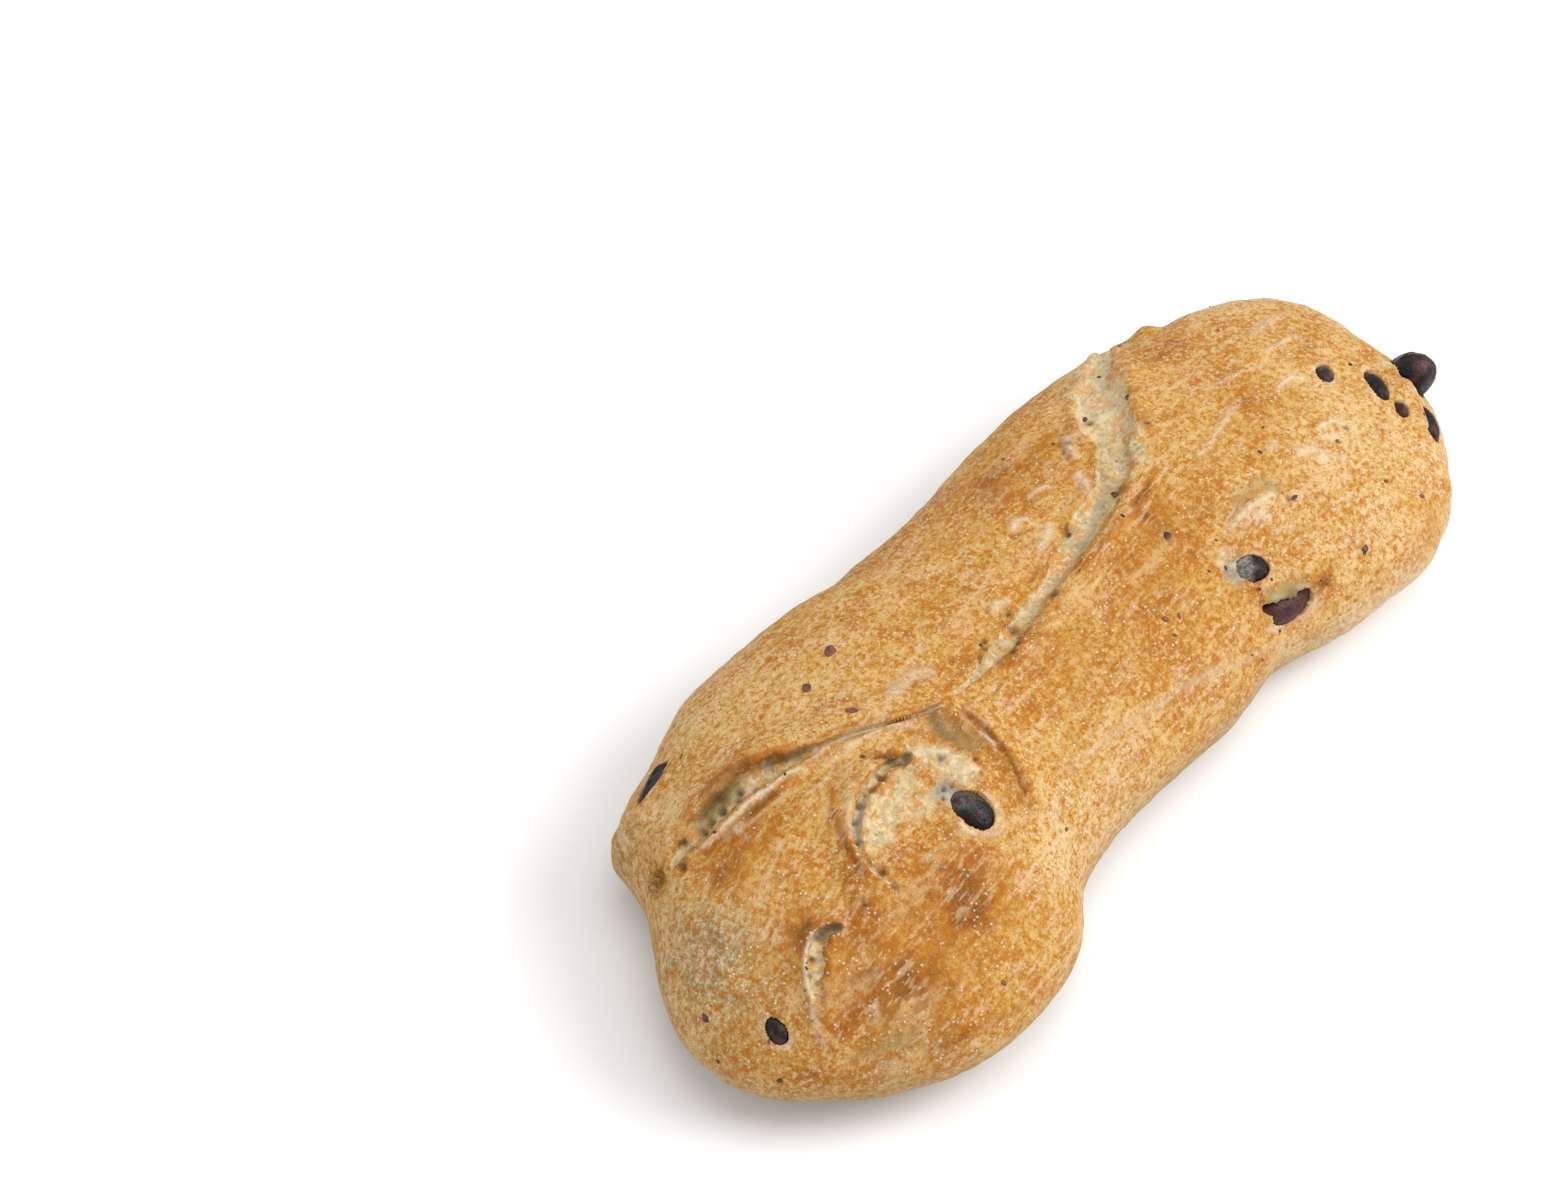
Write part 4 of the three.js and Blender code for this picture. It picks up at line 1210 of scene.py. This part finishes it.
olive_look = olive_material()
for olive_name, olive_place in OLIVES.items():
    make_olive(olive_name, olive_place).data.materials.append(olive_look)

flecks = make_flecks(sculpted)
flecks.data.materials.append(fleck_material())
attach(flecks, "root")

# ---- Floor, lights and camera ----


def make_floor():
    half = 6.0
    corners = [(-half, -half, 0), (half, -half, 0), (half, half, 0), (-half, half, 0)]
    mesh = bpy.data.meshes.new("table_top")
    mesh.from_pydata(corners, [], [(0, 1, 2, 3)])
    floor = bpy.data.objects.new("table_top", mesh)
    bpy.context.scene.collection.objects.link(floor)
    mesh.materials.append(floor_material())


def make_light(name, place, size, power):
    """A round lamp that faces the loaf."""
    lamp = bpy.data.lights.new(name, "AREA")
    lamp.shape = "DISK"
    lamp.size = size
    lamp.energy = power
    light = bpy.data.objects.new(name, lamp)
    light.location = place
    light.rotation_euler = (-Vector(place)).to_track_quat("-Z", "Y").to_euler()
    bpy.context.scene.collection.objects.link(light)


def make_world(strength):
    world = bpy.data.worlds.new("studio")
    world.use_nodes = True
    background = world.node_tree.nodes["Background"]
    background.inputs["Color"].default_value = (1, 1, 1, 1)
    background.inputs["Strength"].default_value = strength
    bpy.context.scene.world = world


def make_camera():
    """Looks down at the photo's slant, over the broad end."""
    elevation, heading = math.radians(55), math.radians(53.597)
    forward = Vector((
        math.sin(heading) * math.cos(elevation),
        math.cos(heading) * math.cos(elevation),
        -math.sin(elevation),
    ))
    target = Vector((-0.013448, 0.064928, 0))
    distance = 0.84708
    lens = bpy.data.cameras.new("camera")
    lens.lens = 85
    lens.sensor_width = 36
    camera = bpy.data.objects.new("camera", lens)
    camera.location = target - forward * distance
    camera.rotation_euler = forward.to_track_quat("-Z", "Y").to_euler()
    bpy.context.scene.collection.objects.link(camera)
    bpy.context.scene.camera = camera


make_floor()
make_light("key", (0.55, -0.75, 0.95), size=0.8, power=10)
make_light("overhead", (0.1, 0, 1.3), size=0.9, power=4.5)
make_world(strength=0.7)
make_camera()
bpy.context.scene.view_settings.view_transform = "Standard"
